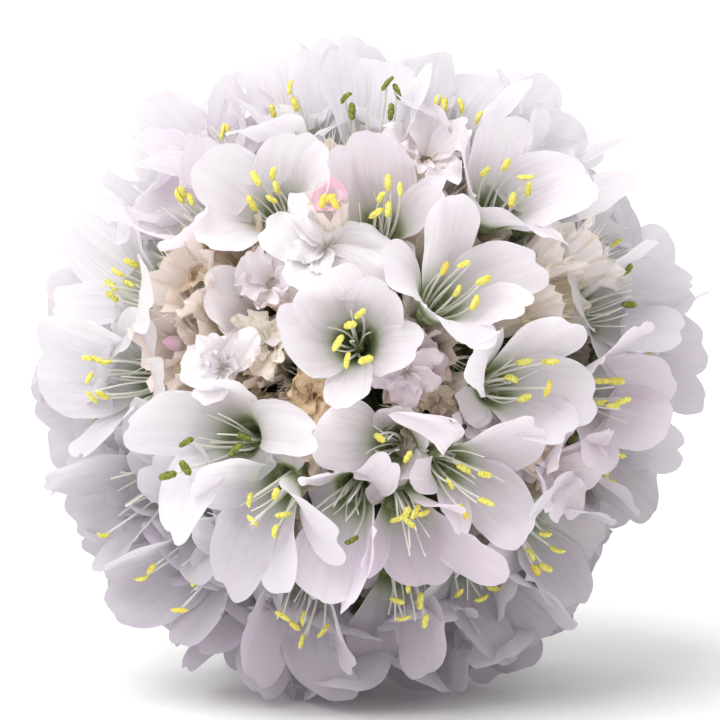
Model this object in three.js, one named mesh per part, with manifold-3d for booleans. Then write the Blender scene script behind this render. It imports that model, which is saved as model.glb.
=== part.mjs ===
// White sea thrift: one cut flower lying on a surface. A round head of open florets stands on a small receptacle,
// each floret in its own papery calyx. Behind the head are the involucre's bracts, the brown sheath and the bare stem.
// Millimetres, +Z up. The head looks along -Y and a little upwards, and the stem slopes back to the surface along +Y.
// The origin is under the middle of the flower's box, on the surface.
import * as THREE from "three";
import { mergeVertices } from "three/addons/utils/BufferGeometryUtils.js";
import Module from "manifold-3d";

const wasm = await Module();
wasm.setup();

// The head. Its own axis is +Z of the head's frame, and radii are measured from the head's centre.
const HEAD_FACE_UP = 8; // degrees that the head's axis rises above the horizontal
const HEAD_CENTRE_HEIGHT = 15.2;
const CORE_RADIUS = 6.4; // to the corners of a core with twenty faces
const NECK_RADIUS = 1.9;
const NECK_TOP = 2; // the neck behind the core, measured back from the head's centre
const NECK_BOTTOM = 5.8;
const THROAT_RADIUS = 11.1; // where a corolla's funnel opens
const GAP = 0.3; // clearance between pieces that touch

// A corolla, before its neighbours bend it.
const PETALS = 5;
const SECTOR = 360 / PETALS;
const PETAL_LENGTH = 5.6;
const PETAL_HALF_WIDTH = 1.75;
const PETAL_TIP_HALF_WIDTH = 0.95;
const PETAL_THICKNESS = 0.6;
const PETAL_JOINED = 0.32; // share of its length over which a petal is joined to the next
const PETAL_WIDEST = 0.7;
const PETAL_FLATTENING = 4; // mm by which the curve across its tip is wider than its distance from the axis
const PETAL_FOOT_SHARE = 0.63; // half width at the throat, as a share of the funnel's radius
const FUNNEL_RADIUS = 0.75;
const FUNNEL_DEPTH = 0.9; // from the throat down to the flat base
const FUNNEL_FLOOR = 0.5; // from the throat down to the bottom of the hollow
const BASE_RADIUS = 0.65;
const START_ANGLE = 12; // degrees from the floret's axis at the throat
const CLOSED_ANGLE = 2; // degrees at the tip of a closed petal
const FLAT_ANGLE = 86; // degrees at the tip of a fully open petal
const NATURAL_OPENING = 0.7;
const OPENING_SPREAD = 0.12;
const LENGTH_SPREAD = 0.1;
const WEDGE_MARGIN = 0.15; // between the edges of neighbouring petals

// How petals make room for each other and for the surface.
const CLEARANCE = 0.95; // between sample points on the middle surfaces of two petals
const TUBE_CLEARANCE = 1.5; // from a petal's middle surface to the axis of another floret's tube and calyx
const FLOOR_MARGIN = -0.05; // below zero, so that the lowest petals are cut flat by the surface
const REACH = 9; // florets whose throats are nearer than this can touch
const TOUCH_REACH = 7; // petals whose middles are nearer than this can touch
const OPENING_STEP = 0.06;
const LENGTH_SHARES = [1, 0.86, 0.72];
const SHORTENING_PRICE = 1.5;
const STIFF_SHARE = 3; // how much more it costs to be near a tube or the surface than near a petal
const TOUCH_PRICES = [0.3, 0.5, 1, 2, 4, 8, 16, 32];

// Stamens, each a filament with its anther.
const FILAMENT_RADIUS = 0.2;
const FILAMENT_START = 0.5; // from the floret's axis
const ANTHER_RADIUS = 0.4;
const FILAMENT_LENGTH = 1.7;
const STAMEN_LENGTH = 3.2;
const ANTHER_SHARE = 0.55; // most of an anther's distance from the axis that its radius takes
const STAMEN_SPREAD = [0.5, 0.9]; // from the floret's axis, for closed petals, and more for open ones

// Calyces.
const CALYX_FOOT = 4.6;
const CALYX_FOOT_RADIUS = 0.55;
const CALYX_TOP_RADIUS = 1.05;
const CALYX_SIDES = 5;
const BARE_CALYX_RADIUS = 1.2;

// The bracts behind the head: series of [count, first bearing, foot radius, reach, rise, half width].
const BRACT_SERIES = [
  [6, 10, 1.2, 7.8, 0.9, 2.1],
  [7, 34, 1.2, 6, 2.2, 1.7],
];
const BRACT_THICKNESS = 0.6;
const BRACT_JOINED = 0.4; // share of its reach over which a bract is joined to the next
const BRACT_WIDEST = 0.7;
const BRACT_CUP = 0.12;
const HUB_TOP = NECK_BOTTOM + GAP; // measured back from the head's centre
const HUB_BOTTOM = 7.1;
const HUB_TOP_RADIUS = 2.5;
const HUB_BOTTOM_RADIUS = 1.4;
const HUB_SIDES = 8;

// The stem and the sheath round its top.
const STEM_RADIUS = 0.95;
const STEM_SIDES = 10;
const STEM_STEPS = 16;
const STEM_TOP = HUB_BOTTOM + GAP;
const STEM_REACH = 126; // from the head's centre to the cut end, along the surface
const STEM_SWAY = 4;
const STEM_END_HEIGHT = 0.88;
const STEM_BEND = 0.45; // share of its reach at which the stem starts to bend towards the surface
const SHEATH_LENGTH = 13;
const SHEATH_WALL = 0.6;
const SHEATH_TEETH = 1.6;
const SHEATH_SIDES = 10;

const WHITE = { color: 0xf4f1f5, roughness: 0.55, metalness: 0 };
const FADED = { color: 0xe6d9d6, roughness: 0.7, metalness: 0 };
const TAN = { color: 0xcbb290, roughness: 0.85, metalness: 0 };
const BROWN = { color: 0x9a7a52, roughness: 0.85, metalness: 0 };
const GREEN = { color: 0x7d9a52, roughness: 0.6, metalness: 0 };

// Open florets: name, tilt from the head's axis, bearing round it (0 right, 90 up), lift out of the head in mm, and
// roll of the petals. Their places follow the photograph by eye, and then go round the back.
const OPEN_FLORETS = [
  ["front", 8, 118, -0.5, 4],
  ["front_low", 14, -80, -0.7, 29],
  ["right_high", 26, 45, 0.3, 50],
  ["top", 34, 86, 0.1, 0],
  ["left_high", 42, 121, 0.3, 36],
  ["right_upper", 48, 54, 0.4, 40],
  ["left_low", 33, -162, 0.1, 36],
  ["low_left", 36, -131, 0.5, 22],
  ["low", 29, -104, -0.3, 36],
  ["low_right", 36, -75, 0.2, 0],
  ["right_low", 31, -43, 0.4, 0],
  ["right", 31, -3, 0.3, -5],
  ["top_back", 57, 90, 0.2, 10],
  ["crown_left", 70, 107, 0.1, 30],
  ["crown_right", 68, 72, 0.1, 20],
  ["shoulder_left", 58, 139, 0, 10],
  ["shoulder_left_back", 76, 125, -0.2, 45],
  ["side_left_high", 66, 161, 0.2, 5],
  ["side_left", 61, -178, 0.1, 0],
  ["side_right", 54, -6, 0.2, 0],
  ["side_right_high", 63, 15, 0, 15],
  ["side_right_back", 79, 27, -0.1, 30],
  ["shoulder_right", 66, 45, -0.4, 60],
  ["edge_right", 79, 4, -0.1, 25],
  ["edge_right_low", 67, -19, 0, 40],
  ["low_right_back", 57, -42, 0.2, 20],
  ["foot_left", 58, -107, 0, 0],
  ["foot", 55, -82, 0, 0],
  ["foot_right", 62, -62, -0.2, 45],
  ["low_left_back", 64, -131, 0, 15],
  ["edge_left_low", 68, -153, 0, 25],
  ["edge_left", 81, -170, -0.2, 50],
  ["edge_left_high", 85, 150, -0.3, 20],
  ["rim_top", 90, 89, 0, 12],
  ["rim_right_high", 88, 53, 0.1, 40],
  ["rim_right_low", 89, -19, 0, 5],
  ["rim_low_right", 85, -43, 0.1, 62],
  ["rim_foot_right", 85, -66, 0, 25],
  ["rim_foot", 80, -90, 0, 50],
  ["rim_foot_left", 84, -114, 0.1, 8],
  ["rim_low_left", 88, -138, 0, 33],
  ["rim_left", 95, 171, 0.1, 55],
  ["rim_left_high", 96, 126, 0, 18],
];
const BACK_RING = { count: 9, tilt: 109, bearing: 16, lift: 0, roll: 17 };

// What stands between them: faded florets with small crumpled petals, calyces with no open petals (tilt, bearing and
// top), and dry bracts (tilt and bearing).
const FADED_FLORETS = [
  ["faded_left", 27, 155, -1.3, 10],
  ["faded_right", 13, 8, -1.9, 0],
  ["faded_right_low", 45, -24, -1.2, 30],
];
const FADED_LENGTH = 0.66; // of an open petal
const FADED_OPENING = 0.3;
const BARE_CALYCES = [
  [16, -160, 9.6],
  [18, 178, 9.8],
  [18, 92, 10.2],
  [38, 104, 10.6],
  [43, 147, 10.8],
  [43, 168, 11.2],
  [45, 25, 11.2],
];
const INNER_BRACTS = [
  [12, -128],
  [22, 180],
  [8, -40],
  [19, -14],
];
const INNER_BRACT_TOP = 8.6;
const INNER_BRACT_HALF_WIDTH = 0.9;
const INNER_BRACT_FOOT_SHARE = 0.7; // of its half width
const INNER_BRACT_CUP = 0.2;
const SEED = 4271;

const rad = THREE.MathUtils.degToRad;
const vec = (x, y, z) => new THREE.Vector3(x, y, z);
const BACKWARD = vec(0, 0, -1);

// The surface, in the head's frame: a point is above it where its height is positive.
const SURFACE_UP = vec(0, Math.cos(rad(HEAD_FACE_UP)), Math.sin(rad(HEAD_FACE_UP)));
const heightOf = (point) => SURFACE_UP.dot(point) + HEAD_CENTRE_HEIGHT;

// Numbers from 0 to 1, the same on every run.
function makeDraws(seed) {
  let state = seed;
  return () => {
    state = (state * 48271) % 2147483647;
    return state / 2147483647;
  };
}

function headDirection(tilt, bearing) {
  const flat = Math.sin(rad(tilt));
  return vec(flat * Math.cos(rad(bearing)), flat * Math.sin(rad(bearing)), Math.cos(rad(tilt)));
}

// Solids.

function toSolid(geometry) {
  const bare = geometry.clone();
  bare.deleteAttribute("normal");
  bare.deleteAttribute("uv");
  const merged = mergeVertices(bare, 1e-4);
  const vertProperties = new Float32Array(merged.attributes.position.array);
  const triVerts = new Uint32Array(merged.index.array);
  return new wasm.Manifold(new wasm.Mesh({ numProp: 3, vertProperties, triVerts }));
}

function toGeometry(solid) {
  const mesh = solid.getMesh();
  const geometry = new THREE.BufferGeometry();
  geometry.setAttribute("position", new THREE.BufferAttribute(new Float32Array(mesh.vertProperties), 3));
  geometry.setIndex(new THREE.BufferAttribute(new Uint32Array(mesh.triVerts), 1));
  geometry.computeVertexNormals();
  return geometry;
}

function solidFromFaces(points, faces) {
  const geometry = new THREE.BufferGeometry().setFromPoints(points);
  geometry.setIndex(faces.flat());
  return toSolid(geometry);
}

// The largest body of a solid, so that no loose scrap is kept after a cut.
function largestBody(solid) {
  return solid.decompose().reduce((best, body) => (body.volume() > best.volume() ? body : best));
}

// A sheet of triangles made thick: a front and a back copy of its points, and the free edges between them.
function thicken(points, faces, thickness) {
  const normals = points.map(() => vec(0, 0, 0));
  for (const face of faces) {
    const [a, b, c] = face.map((i) => points[i]);
    const normal = b.clone().sub(a).cross(c.clone().sub(a));
    face.forEach((i) => normals[i].add(normal));
  }
  const half = thickness / 2;
  const front = points.map((p, i) => p.clone().addScaledVector(normals[i].normalize(), half));
  const back = points.map((p, i) => p.clone().addScaledVector(normals[i], -half));
  const shift = points.length;
  const backFaces = faces.map(([a, b, c]) => [a + shift, c + shift, b + shift]);
  const directed = new Set(faces.flatMap(([a, b, c]) => [`${a} ${b}`, `${b} ${c}`, `${c} ${a}`]));
  const edges = [...directed].map((key) => key.split(" ").map(Number));
  const freeEdges = edges.filter(([a, b]) => !directed.has(`${b} ${a}`));
  return { points: [...front, ...back], faces: [...faces, ...backFaces], freeEdges, shift };
}

function wallFaces(edges, shift) {
  return edges.flatMap(([a, b]) => [
    [b, a, a + shift],
    [b, a + shift, b + shift],
  ]);
}

// A pointed blade along a list of middle points, each with its half width. Side is the direction across the blade.
function blade(middles, halfWidths, side, face, cup, thickness) {
  const points = [];
  const faces = [];
  middles.slice(0, -1).forEach((middle, row) => {
    const edge = middle.clone().addScaledVector(face, cup * halfWidths[row]);
    points.push(edge.clone().addScaledVector(side, -halfWidths[row]), middle);
    points.push(edge.clone().addScaledVector(side, halfWidths[row]));
    const [l, m, r] = [3 * row, 3 * row + 1, 3 * row + 2];
    if (row < middles.length - 2) {
      faces.push([l, l + 3, m + 3], [l, m + 3, m], [m, m + 3, r + 3], [m, r + 3, r]);
    } else {
      faces.push([l, l + 3, m], [m, l + 3, r]);
    }
  });
  points.push(middles[middles.length - 1]);
  const sheet = thicken(points, faces, thickness);
  return solidFromFaces(sheet.points, [...sheet.faces, ...wallFaces(sheet.freeEdges, sheet.shift)]);
}

// Florets.

function makeFloret([name, tilt, bearing, lift, roll], length, opening, draw) {
  const axis = headDirection(tilt, bearing);
  const out = headDirection(tilt + 90, bearing);
  const side = vec(0, 0, 0).crossVectors(axis, out);
  const throat = axis.clone().multiplyScalar(THROAT_RADIUS + lift);
  const petals = [];
  for (let k = 0; k < PETALS; k += 1) {
    const turn = rad(roll + SECTOR * k);
    const along = out.clone().multiplyScalar(Math.cos(turn)).addScaledVector(side, Math.sin(turn));
    const across = vec(0, 0, 0).crossVectors(axis, along);
    const natural = opening + OPENING_SPREAD * (draw() - 0.5);
    const fullLength = PETAL_LENGTH * length * (1 + LENGTH_SPREAD * (draw() - 0.5));
    petals.push({ axis, throat, along, across, natural, fullLength });
  }
  return { name: `floret_${name}`, lift, axis, throat, petals };
}

// A petal's middle line at share u of its length: distance from the floret's axis, height and angle.
function petalLine(petal, u) {
  const start = rad(START_ANGLE);
  const bend = rad(CLOSED_ANGLE + petal.opening * (FLAT_ANGLE - CLOSED_ANGLE)) - start;
  const turn = Math.abs(bend) < 1e-3 ? 1e-3 : bend;
  const angle = start + turn * u;
  const reach = petal.length / turn;
  const across = FUNNEL_RADIUS + reach * (Math.cos(start) - Math.cos(angle));
  return { across, up: reach * (Math.sin(angle) - Math.sin(start)), angle };
}

// The curve across a petal is tight at the throat and nearly flat at its tip.
const curveRadius = (line, u) => line.across + PETAL_FLATTENING * u * u;

function petalHalfWidth(u) {
  if (u <= PETAL_WIDEST) {
    const share = u / PETAL_WIDEST;
    return FUNNEL_RADIUS * PETAL_FOOT_SHARE * (1 - share) + PETAL_HALF_WIDTH * Math.sin((share * Math.PI) / 2);
  }
  const share = (u - PETAL_WIDEST) / (1 - PETAL_WIDEST);
  return PETAL_HALF_WIDTH + (PETAL_TIP_HALF_WIDTH - PETAL_HALF_WIDTH) * share * share;
}

// A point of a petal's middle surface, v from -1 to 1 across it.
function petalPoint(petal, u, v) {
  const line = petalLine(petal, u);
  const radius = curveRadius(line, u);
  const wedge = Math.tan(rad(SECTOR / 2)) * line.across - WEDGE_MARGIN;
  const bow = (v * Math.min(petalHalfWidth(u), wedge)) / radius;
  const inward = radius * (1 - Math.cos(bow));
  return petal.throat
    .clone()
    .addScaledVector(petal.axis, line.up + inward * Math.sin(line.angle))
    .addScaledVector(petal.along, line.across - inward * Math.cos(line.angle))
    .addScaledVector(petal.across, radius * Math.sin(bow));
}

// Where a petal's stamen is at its start, its middle and its end: distance from the floret's axis, and height.
function stamenLine(opening) {
  const spread = STAMEN_SPREAD[0] + STAMEN_SPREAD[1] * opening;
  return [
    [FILAMENT_START, FILAMENT_LENGTH],
    [(FILAMENT_START + spread) / 2, (FILAMENT_LENGTH + STAMEN_LENGTH) / 2],
    [spread, STAMEN_LENGTH],
  ];
}

// Points spread over a petal as it is built, in flat facets, and along its stamen.
function petalSamples(petal) {
  const across = [-1, -0.5, 0, 0.5, 1];
  const rowAt = (u) => {
    const [left, middle, right] = [-1, 0, 1].map((v) => petalPoint(petal, u, v));
    if (u === 1) middle.copy(left).lerp(right, 0.5);
    return across.map((v) => (v < 0 ? middle.clone().lerp(left, -v) : middle.clone().lerp(right, v)));
  };
  const [joined, wide, tip] = [PETAL_JOINED, PETAL_WIDEST, 1].map(rowAt);
  const between = (low, high, share) => low.map((point, i) => point.clone().lerp(high[i], share));
  const rows = [rowAt(PETAL_JOINED / 2), joined, between(joined, wide, 1 / 3), between(joined, wide, 2 / 3)];
  rows.push(wide, between(wide, tip, 0.5), tip);
  const stamen = stamenLine(petal.opening).map(([far, up]) =>
    petal.throat.clone().addScaledVector(petal.axis, up).addScaledVector(petal.along, far),
  );
  return [...rows.flat(), ...stamen];
}

// How far two petals are short of the clearance that they need.
function shortfall(samples, others) {
  let least = CLEARANCE * CLEARANCE;
  for (const p of samples) {
    for (const q of others) {
      const d = (p.x - q.x) ** 2 + (p.y - q.y) ** 2 + (p.z - q.z) ** 2;
      if (d < least) least = d;
    }
  }
  return CLEARANCE - Math.sqrt(least);
}

// How far a petal is short of its clearance from the surface and from the neighbouring florets' tubes.
function stiffShortfall(petal, samples) {
  let worst = 0;
  for (const point of samples) {
    worst = Math.max(worst, FLOOR_MARGIN - heightOf(point));
    for (const { axis, lift } of petal.neighbours) {
      const along = point.dot(axis);
      if (along > THROAT_RADIUS + lift) continue;
      const beside = Math.sqrt(Math.max(0, point.lengthSq() - along * along));
      worst = Math.max(worst, TUBE_CLEARANCE - beside);
    }
  }
  return worst;
}

// Every petal in turn opens, closes or shortens to the pose that costs least, again and again, while touching a
// neighbour costs more each time. So the petals end up slipped over and under each other, as they are in a full head.
function settlePetals(florets) {
  const petals = florets.flatMap((floret) => floret.petals);
  for (const floret of florets) {
    const near = florets.filter((o) => o !== floret && o.axis.distanceTo(floret.axis) * THROAT_RADIUS < REACH);
    floret.petals.forEach((petal) => {
      petal.neighbours = near;
    });
  }
  const centreOf = (petal) => petalPoint(petal, PETAL_WIDEST, 0);
  for (const petal of petals) {
    [petal.opening, petal.length] = [petal.natural, petal.fullLength];
    petal.samples = petalSamples(petal);
    petal.centre = centreOf(petal);
  }
  for (const price of TOUCH_PRICES) {
    for (const petal of petals) {
      const others = petal.neighbours.flatMap((floret) => floret.petals);
      let best = null;
      for (const share of LENGTH_SHARES) {
        for (let opening = OPENING_STEP; opening <= 1; opening += OPENING_STEP) {
          const trial = { ...petal, opening, length: petal.fullLength * share };
          trial.samples = petalSamples(trial);
          trial.centre = centreOf(trial);
          let cost = Math.abs(opening - petal.natural) + SHORTENING_PRICE * (1 - share);
          cost += price * STIFF_SHARE * stiffShortfall(trial, trial.samples);
          for (const other of others) {
            if (best && cost >= best.cost) break;
            if (other.centre.distanceTo(trial.centre) > TOUCH_REACH) continue;
            cost += price * shortfall(trial.samples, other.samples);
          }
          if (!best || cost < best.cost) best = { cost, trial };
        }
      }
      Object.assign(petal, best.trial);
    }
  }
}

// A stamen rises from one triangle of the funnel's floor: a three-sided filament that widens into the anther.
function stamenFaces(petal, root, addPoint) {
  const [start, , end] = stamenLine(petal.opening);
  const levels = [
    [...start, FILAMENT_RADIUS],
    [...end, Math.min(ANTHER_RADIUS, end[0] * ANTHER_SHARE)],
  ];
  const faces = [];
  let ring = root;
  for (const [across, up, radius] of levels) {
    const next = [-60, 60, 180].map((angle) => {
      const point = petal.throat.clone().addScaledVector(petal.axis, up);
      point.addScaledVector(petal.along, across + radius * Math.cos(rad(angle)));
      return addPoint(point.addScaledVector(petal.across, radius * Math.sin(rad(angle))));
    });
    for (const i of [0, 1, 2]) {
      const j = (i + 1) % 3;
      faces.push([ring[i], ring[j], next[j]], [ring[i], next[j], next[i]]);
    }
    ring = next;
  }
  return [...faces, ring];
}

// A corolla's limb is one sheet: a ring of points at the throat, a ring where the petals part, then each petal's own.
function corollaSolid(floret) {
  const { petals, axis, throat } = floret;
  const points = [];
  const faces = [];
  const add = (point) => points.push(point) - 1;
  const edgePoint = (k, u) => {
    const turn = rad(SECTOR / 2);
    const lines = [petals[(k + PETALS - 1) % PETALS], petals[k]].map((petal) => petalLine(petal, u));
    const across = (lines[0].across + lines[1].across) / 2;
    const up = (lines[0].up + lines[1].up) / 2;
    const along = petals[k].along.clone().multiplyScalar(Math.cos(turn));
    along.addScaledVector(petals[k].across, -Math.sin(turn));
    return throat.clone().addScaledVector(axis, up).addScaledVector(along, across);
  };
  const rings = [0, PETAL_JOINED].map((u) =>
    petals.map((petal, k) => [add(edgePoint(k, u)), add(petalPoint(petal, u, 0))]),
  );
  petals.forEach((petal, k) => {
    const next = (k + 1) % PETALS;
    const [throatRow, joinedRow] = rings.map((ring) => [ring[k][0], ring[k][1], ring[next][0]]);
    const wideRow = [-1, 0, 1].map((v) => add(petalPoint(petal, PETAL_WIDEST, v)));
    const [tipLeft, tipRight] = [-1, 1].map((v) => add(petalPoint(petal, 1, v)));
    for (const [low, high] of [[throatRow, joinedRow], [joinedRow, wideRow]]) {
      for (const i of [0, 1]) {
        faces.push([low[i], high[i], high[i + 1]], [low[i], high[i + 1], low[i + 1]]);
      }
    }
    const [left, mid, right] = wideRow;
    faces.push([left, tipLeft, mid], [mid, tipLeft, tipRight], [mid, tipRight, right]);
  });

  const sheet = thicken(points, faces, PETAL_THICKNESS);
  const throatRing = rings[0].flat();
  const inThroat = new Set(throatRing);
  const rimEdges = sheet.freeEdges.filter(([a, b]) => !(inThroat.has(a) && inThroat.has(b)));
  const solidPoints = sheet.points;
  const solidFaces = [...sheet.faces, ...wallFaces(rimEdges, sheet.shift)];
  const addSolid = (point) => solidPoints.push(point) - 1;
  const hollow = addSolid(throat.clone().addScaledVector(axis, -FUNNEL_FLOOR));
  const base = petals.map((petal) => {
    const turn = rad(SECTOR / 2);
    const along = petal.along.clone().multiplyScalar(Math.cos(turn)).addScaledVector(petal.across, -Math.sin(turn));
    return addSolid(throat.clone().addScaledVector(axis, -FUNNEL_DEPTH).addScaledVector(along, BASE_RADIUS));
  });
  rings[0].forEach(([edge, mid], k) => {
    const nextEdge = rings[0][(k + 1) % PETALS][0];
    const nextBase = base[(k + 1) % PETALS];
    const [edgeBack, midBack, nextBack] = [edge, mid, nextEdge].map((i) => i + sheet.shift);
    solidFaces.push([mid, nextEdge, hollow]);
    const root = [edge, mid, hollow];
    if (floret.stamens) solidFaces.push(...stamenFaces(petals[k], root, addSolid));
    else solidFaces.push(root);
    solidFaces.push([edgeBack, base[k], midBack], [midBack, base[k], nextBase], [midBack, nextBase, nextBack]);
    if (k > 0 && k < PETALS - 1) solidFaces.push([base[0], nextBase, base[k]]);
  });
  return solidFromFaces(solidPoints, solidFaces);
}

function floretSolid(floret, belowSurface) {
  return largestBody(corollaSolid(floret).subtract(belowSurface));
}

// The receptacle with every calyx and the dry bracts between them, as one body.

function coneSolid(axis, foot, top, footRadius, topRadius, sides) {
  const geometry = new THREE.CylinderGeometry(topRadius, footRadius, top - foot, sides);
  geometry.translate(0, (foot + top) / 2, 0);
  geometry.applyQuaternion(new THREE.Quaternion().setFromUnitVectors(vec(0, 1, 0), axis));
  return toSolid(geometry);
}

function receptacleSolid(florets) {
  let solid = toSolid(new THREE.IcosahedronGeometry(CORE_RADIUS));
  solid = solid.add(coneSolid(BACKWARD, NECK_TOP, NECK_BOTTOM, NECK_RADIUS, NECK_RADIUS, HUB_SIDES));
  for (const floret of florets) {
    const top = THROAT_RADIUS + floret.lift - FUNNEL_DEPTH - GAP;
    solid = solid.add(coneSolid(floret.axis, CALYX_FOOT, top, CALYX_FOOT_RADIUS, CALYX_TOP_RADIUS, CALYX_SIDES));
  }
  for (const [tilt, bearing, top] of BARE_CALYCES) {
    const axis = headDirection(tilt, bearing);
    solid = solid.add(coneSolid(axis, CALYX_FOOT, top, CALYX_FOOT_RADIUS, BARE_CALYX_RADIUS, CALYX_SIDES));
  }
  for (const [tilt, bearing] of INNER_BRACTS) {
    const axis = headDirection(tilt, bearing);
    const out = headDirection(tilt + 90, bearing);
    const side = vec(0, 0, 0).crossVectors(axis, out);
    const middles = [CALYX_FOOT, (CALYX_FOOT + INNER_BRACT_TOP) / 2, INNER_BRACT_TOP].map((r) =>
      axis.clone().multiplyScalar(r),
    );
    const widths = [INNER_BRACT_FOOT_SHARE * INNER_BRACT_HALF_WIDTH, INNER_BRACT_HALF_WIDTH, 0];
    solid = solid.add(blade(middles, widths, side, out, INNER_BRACT_CUP, BRACT_THICKNESS));
  }
  return largestBody(solid);
}

// One series of bracts: a ring of lobes that are joined near the hub and free towards their points.
function bractRing([count, first, foot, reach, rise, halfWidth]) {
  const points = [];
  const faces = [];
  const middleHeight = -(HUB_TOP + HUB_BOTTOM) / 2;
  const sector = 360 / count;
  const add = (k, turn, share, offset) => {
    const out = headDirection(90, first + sector * (k + turn));
    const side = vec(-out.y, out.x, 0);
    const point = out.multiplyScalar(foot + (reach - foot) * share).addScaledVector(side, offset);
    return points.push(point.setZ(middleHeight + rise * share * share + BRACT_CUP * offset * offset)) - 1;
  };
  const rings = [0, BRACT_JOINED].map((share) =>
    Array.from({ length: count }, (_, k) => [add(k, -0.5, share, 0), add(k, 0, share, 0)]),
  );
  for (let k = 0; k < count; k += 1) {
    const next = (k + 1) % count;
    const [low, joined] = rings.map((ring) => [ring[k][0], ring[k][1], ring[next][0]]);
    const [left, right] = [-halfWidth, halfWidth].map((offset) => add(k, 0, BRACT_WIDEST, offset));
    const middle = add(k, 0, BRACT_WIDEST, 0);
    const tip = add(k, 0, 1, 0);
    const wide = [left, middle, right];
    for (const [inner, outer] of [[low, joined], [joined, wide]]) {
      for (const i of [0, 1]) {
        faces.push([inner[i], outer[i], outer[i + 1]], [inner[i], outer[i + 1], inner[i + 1]]);
      }
    }
    faces.push([left, tip, middle], [middle, tip, right]);
  }
  const sheet = thicken(points, faces, BRACT_THICKNESS);
  return solidFromFaces(sheet.points, [...sheet.faces, ...wallFaces(sheet.freeEdges, sheet.shift)]);
}

function involucreSolid() {
  const hub = coneSolid(BACKWARD, HUB_TOP, HUB_BOTTOM, HUB_TOP_RADIUS, HUB_BOTTOM_RADIUS, HUB_SIDES);
  return largestBody(BRACT_SERIES.reduce((solid, series) => solid.add(bractRing(series)), hub));
}

// The stem, in the flower's frame, with the head's centre above the origin.

const headCentre = vec(0, 0, HEAD_CENTRE_HEIGHT);
const stemDirection = vec(0, Math.cos(rad(HEAD_FACE_UP)), -Math.sin(rad(HEAD_FACE_UP)));
const alongStem = (distance) => headCentre.clone().addScaledVector(stemDirection, distance);

function stemSolid(belowSurface) {
  const start = alongStem(STEM_TOP);
  const sheathEnd = alongStem(STEM_TOP + SHEATH_LENGTH + SHEATH_TEETH);
  const end = vec(STEM_SWAY, STEM_REACH, STEM_END_HEIGHT);
  const bendStart = alongStem(STEM_REACH * STEM_BEND);
  const path = new THREE.CurvePath();
  path.add(new THREE.LineCurve3(start, sheathEnd));
  path.add(new THREE.QuadraticBezierCurve3(sheathEnd, bendStart, end));
  const circle = new THREE.Shape().absarc(0, 0, STEM_RADIUS, 0, 2 * Math.PI, false);
  const section = new THREE.Shape(circle.getPoints(STEM_SIDES / 2).slice(0, -1));
  const geometry = new THREE.ExtrudeGeometry(section, { steps: STEM_STEPS, extrudePath: path });
  return largestBody(toSolid(geometry).subtract(belowSurface));
}

// A papery tube with a torn lower edge.
function sheathGeometry() {
  const inner = STEM_RADIUS + GAP;
  const outer = inner + SHEATH_WALL;
  const points = [];
  const faces = [];
  for (let i = 0; i < SHEATH_SIDES; i += 1) {
    const turn = (2 * Math.PI * i) / SHEATH_SIDES;
    const end = SHEATH_LENGTH + (i % 2 ? SHEATH_TEETH : 0);
    for (const [radius, distance] of [[outer, 0], [outer, end], [inner, end], [inner, 0]]) {
      points.push(vec(radius * Math.cos(turn), radius * Math.sin(turn), -distance));
    }
    const next = (i + 1) % SHEATH_SIDES;
    for (const [k, l] of [[0, 1], [1, 2], [2, 3], [3, 0]]) {
      const [a, b, c, d] = [4 * i + k, 4 * i + l, 4 * next + l, 4 * next + k];
      faces.push([a, b, c], [a, c, d]);
    }
  }
  const geometry = new THREE.BufferGeometry().setFromPoints(points);
  geometry.setIndex(faces.flat());
  geometry.computeVertexNormals();
  return geometry;
}

// Everything below the surface, moved by a matrix.
function belowSurfaceSolid(matrix) {
  const size = 4 * STEM_REACH;
  const geometry = new THREE.BoxGeometry(size, size, size).translate(0, 0, -size / 2);
  return toSolid(geometry.applyMatrix4(matrix));
}

// Puts it all together.

const draw = makeDraws(SEED);
const openRows = [...OPEN_FLORETS];
for (let i = 0; i < BACK_RING.count; i += 1) {
  const bearing = BACK_RING.bearing + (360 * i) / BACK_RING.count;
  openRows.push([`back_${i + 1}`, BACK_RING.tilt, bearing, BACK_RING.lift, BACK_RING.roll * i]);
}
const florets = [
  ...openRows.map((row) => ({ ...makeFloret(row, 1, NATURAL_OPENING, draw), stamens: true, finish: WHITE })),
  ...FADED_FLORETS.map((row) => ({ ...makeFloret(row, FADED_LENGTH, FADED_OPENING, draw), finish: FADED })),
];
settlePetals(florets);

const flower = new THREE.Group();
const head = new THREE.Group();
head.position.copy(headCentre);
head.rotation.x = rad(90 - HEAD_FACE_UP);
head.updateMatrixWorld();
flower.add(head);

function addMesh(parent, name, geometry, finish) {
  const mesh = new THREE.Mesh(geometry, new THREE.MeshStandardMaterial(finish));
  mesh.name = name;
  parent.add(mesh);
  return mesh;
}

const belowSurface = belowSurfaceSolid(new THREE.Matrix4());
const belowHead = belowSurfaceSolid(head.matrixWorld.clone().invert());
addMesh(head, "receptacle", toGeometry(receptacleSolid(florets)), TAN);
addMesh(head, "involucre", toGeometry(involucreSolid()), BROWN);
for (const floret of florets) {
  addMesh(head, floret.name, toGeometry(floretSolid(floret, belowHead)), floret.finish);
}
addMesh(head, "sheath", sheathGeometry(), BROWN).position.z = -STEM_TOP;
addMesh(flower, "scape", toGeometry(stemSolid(belowSurface)), GREEN);

const box = new THREE.Box3().setFromObject(flower, true);
flower.position.x = -(box.min.x + box.max.x) / 2;
flower.position.y = -(box.min.y + box.max.y) / 2;

export default flower;
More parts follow.
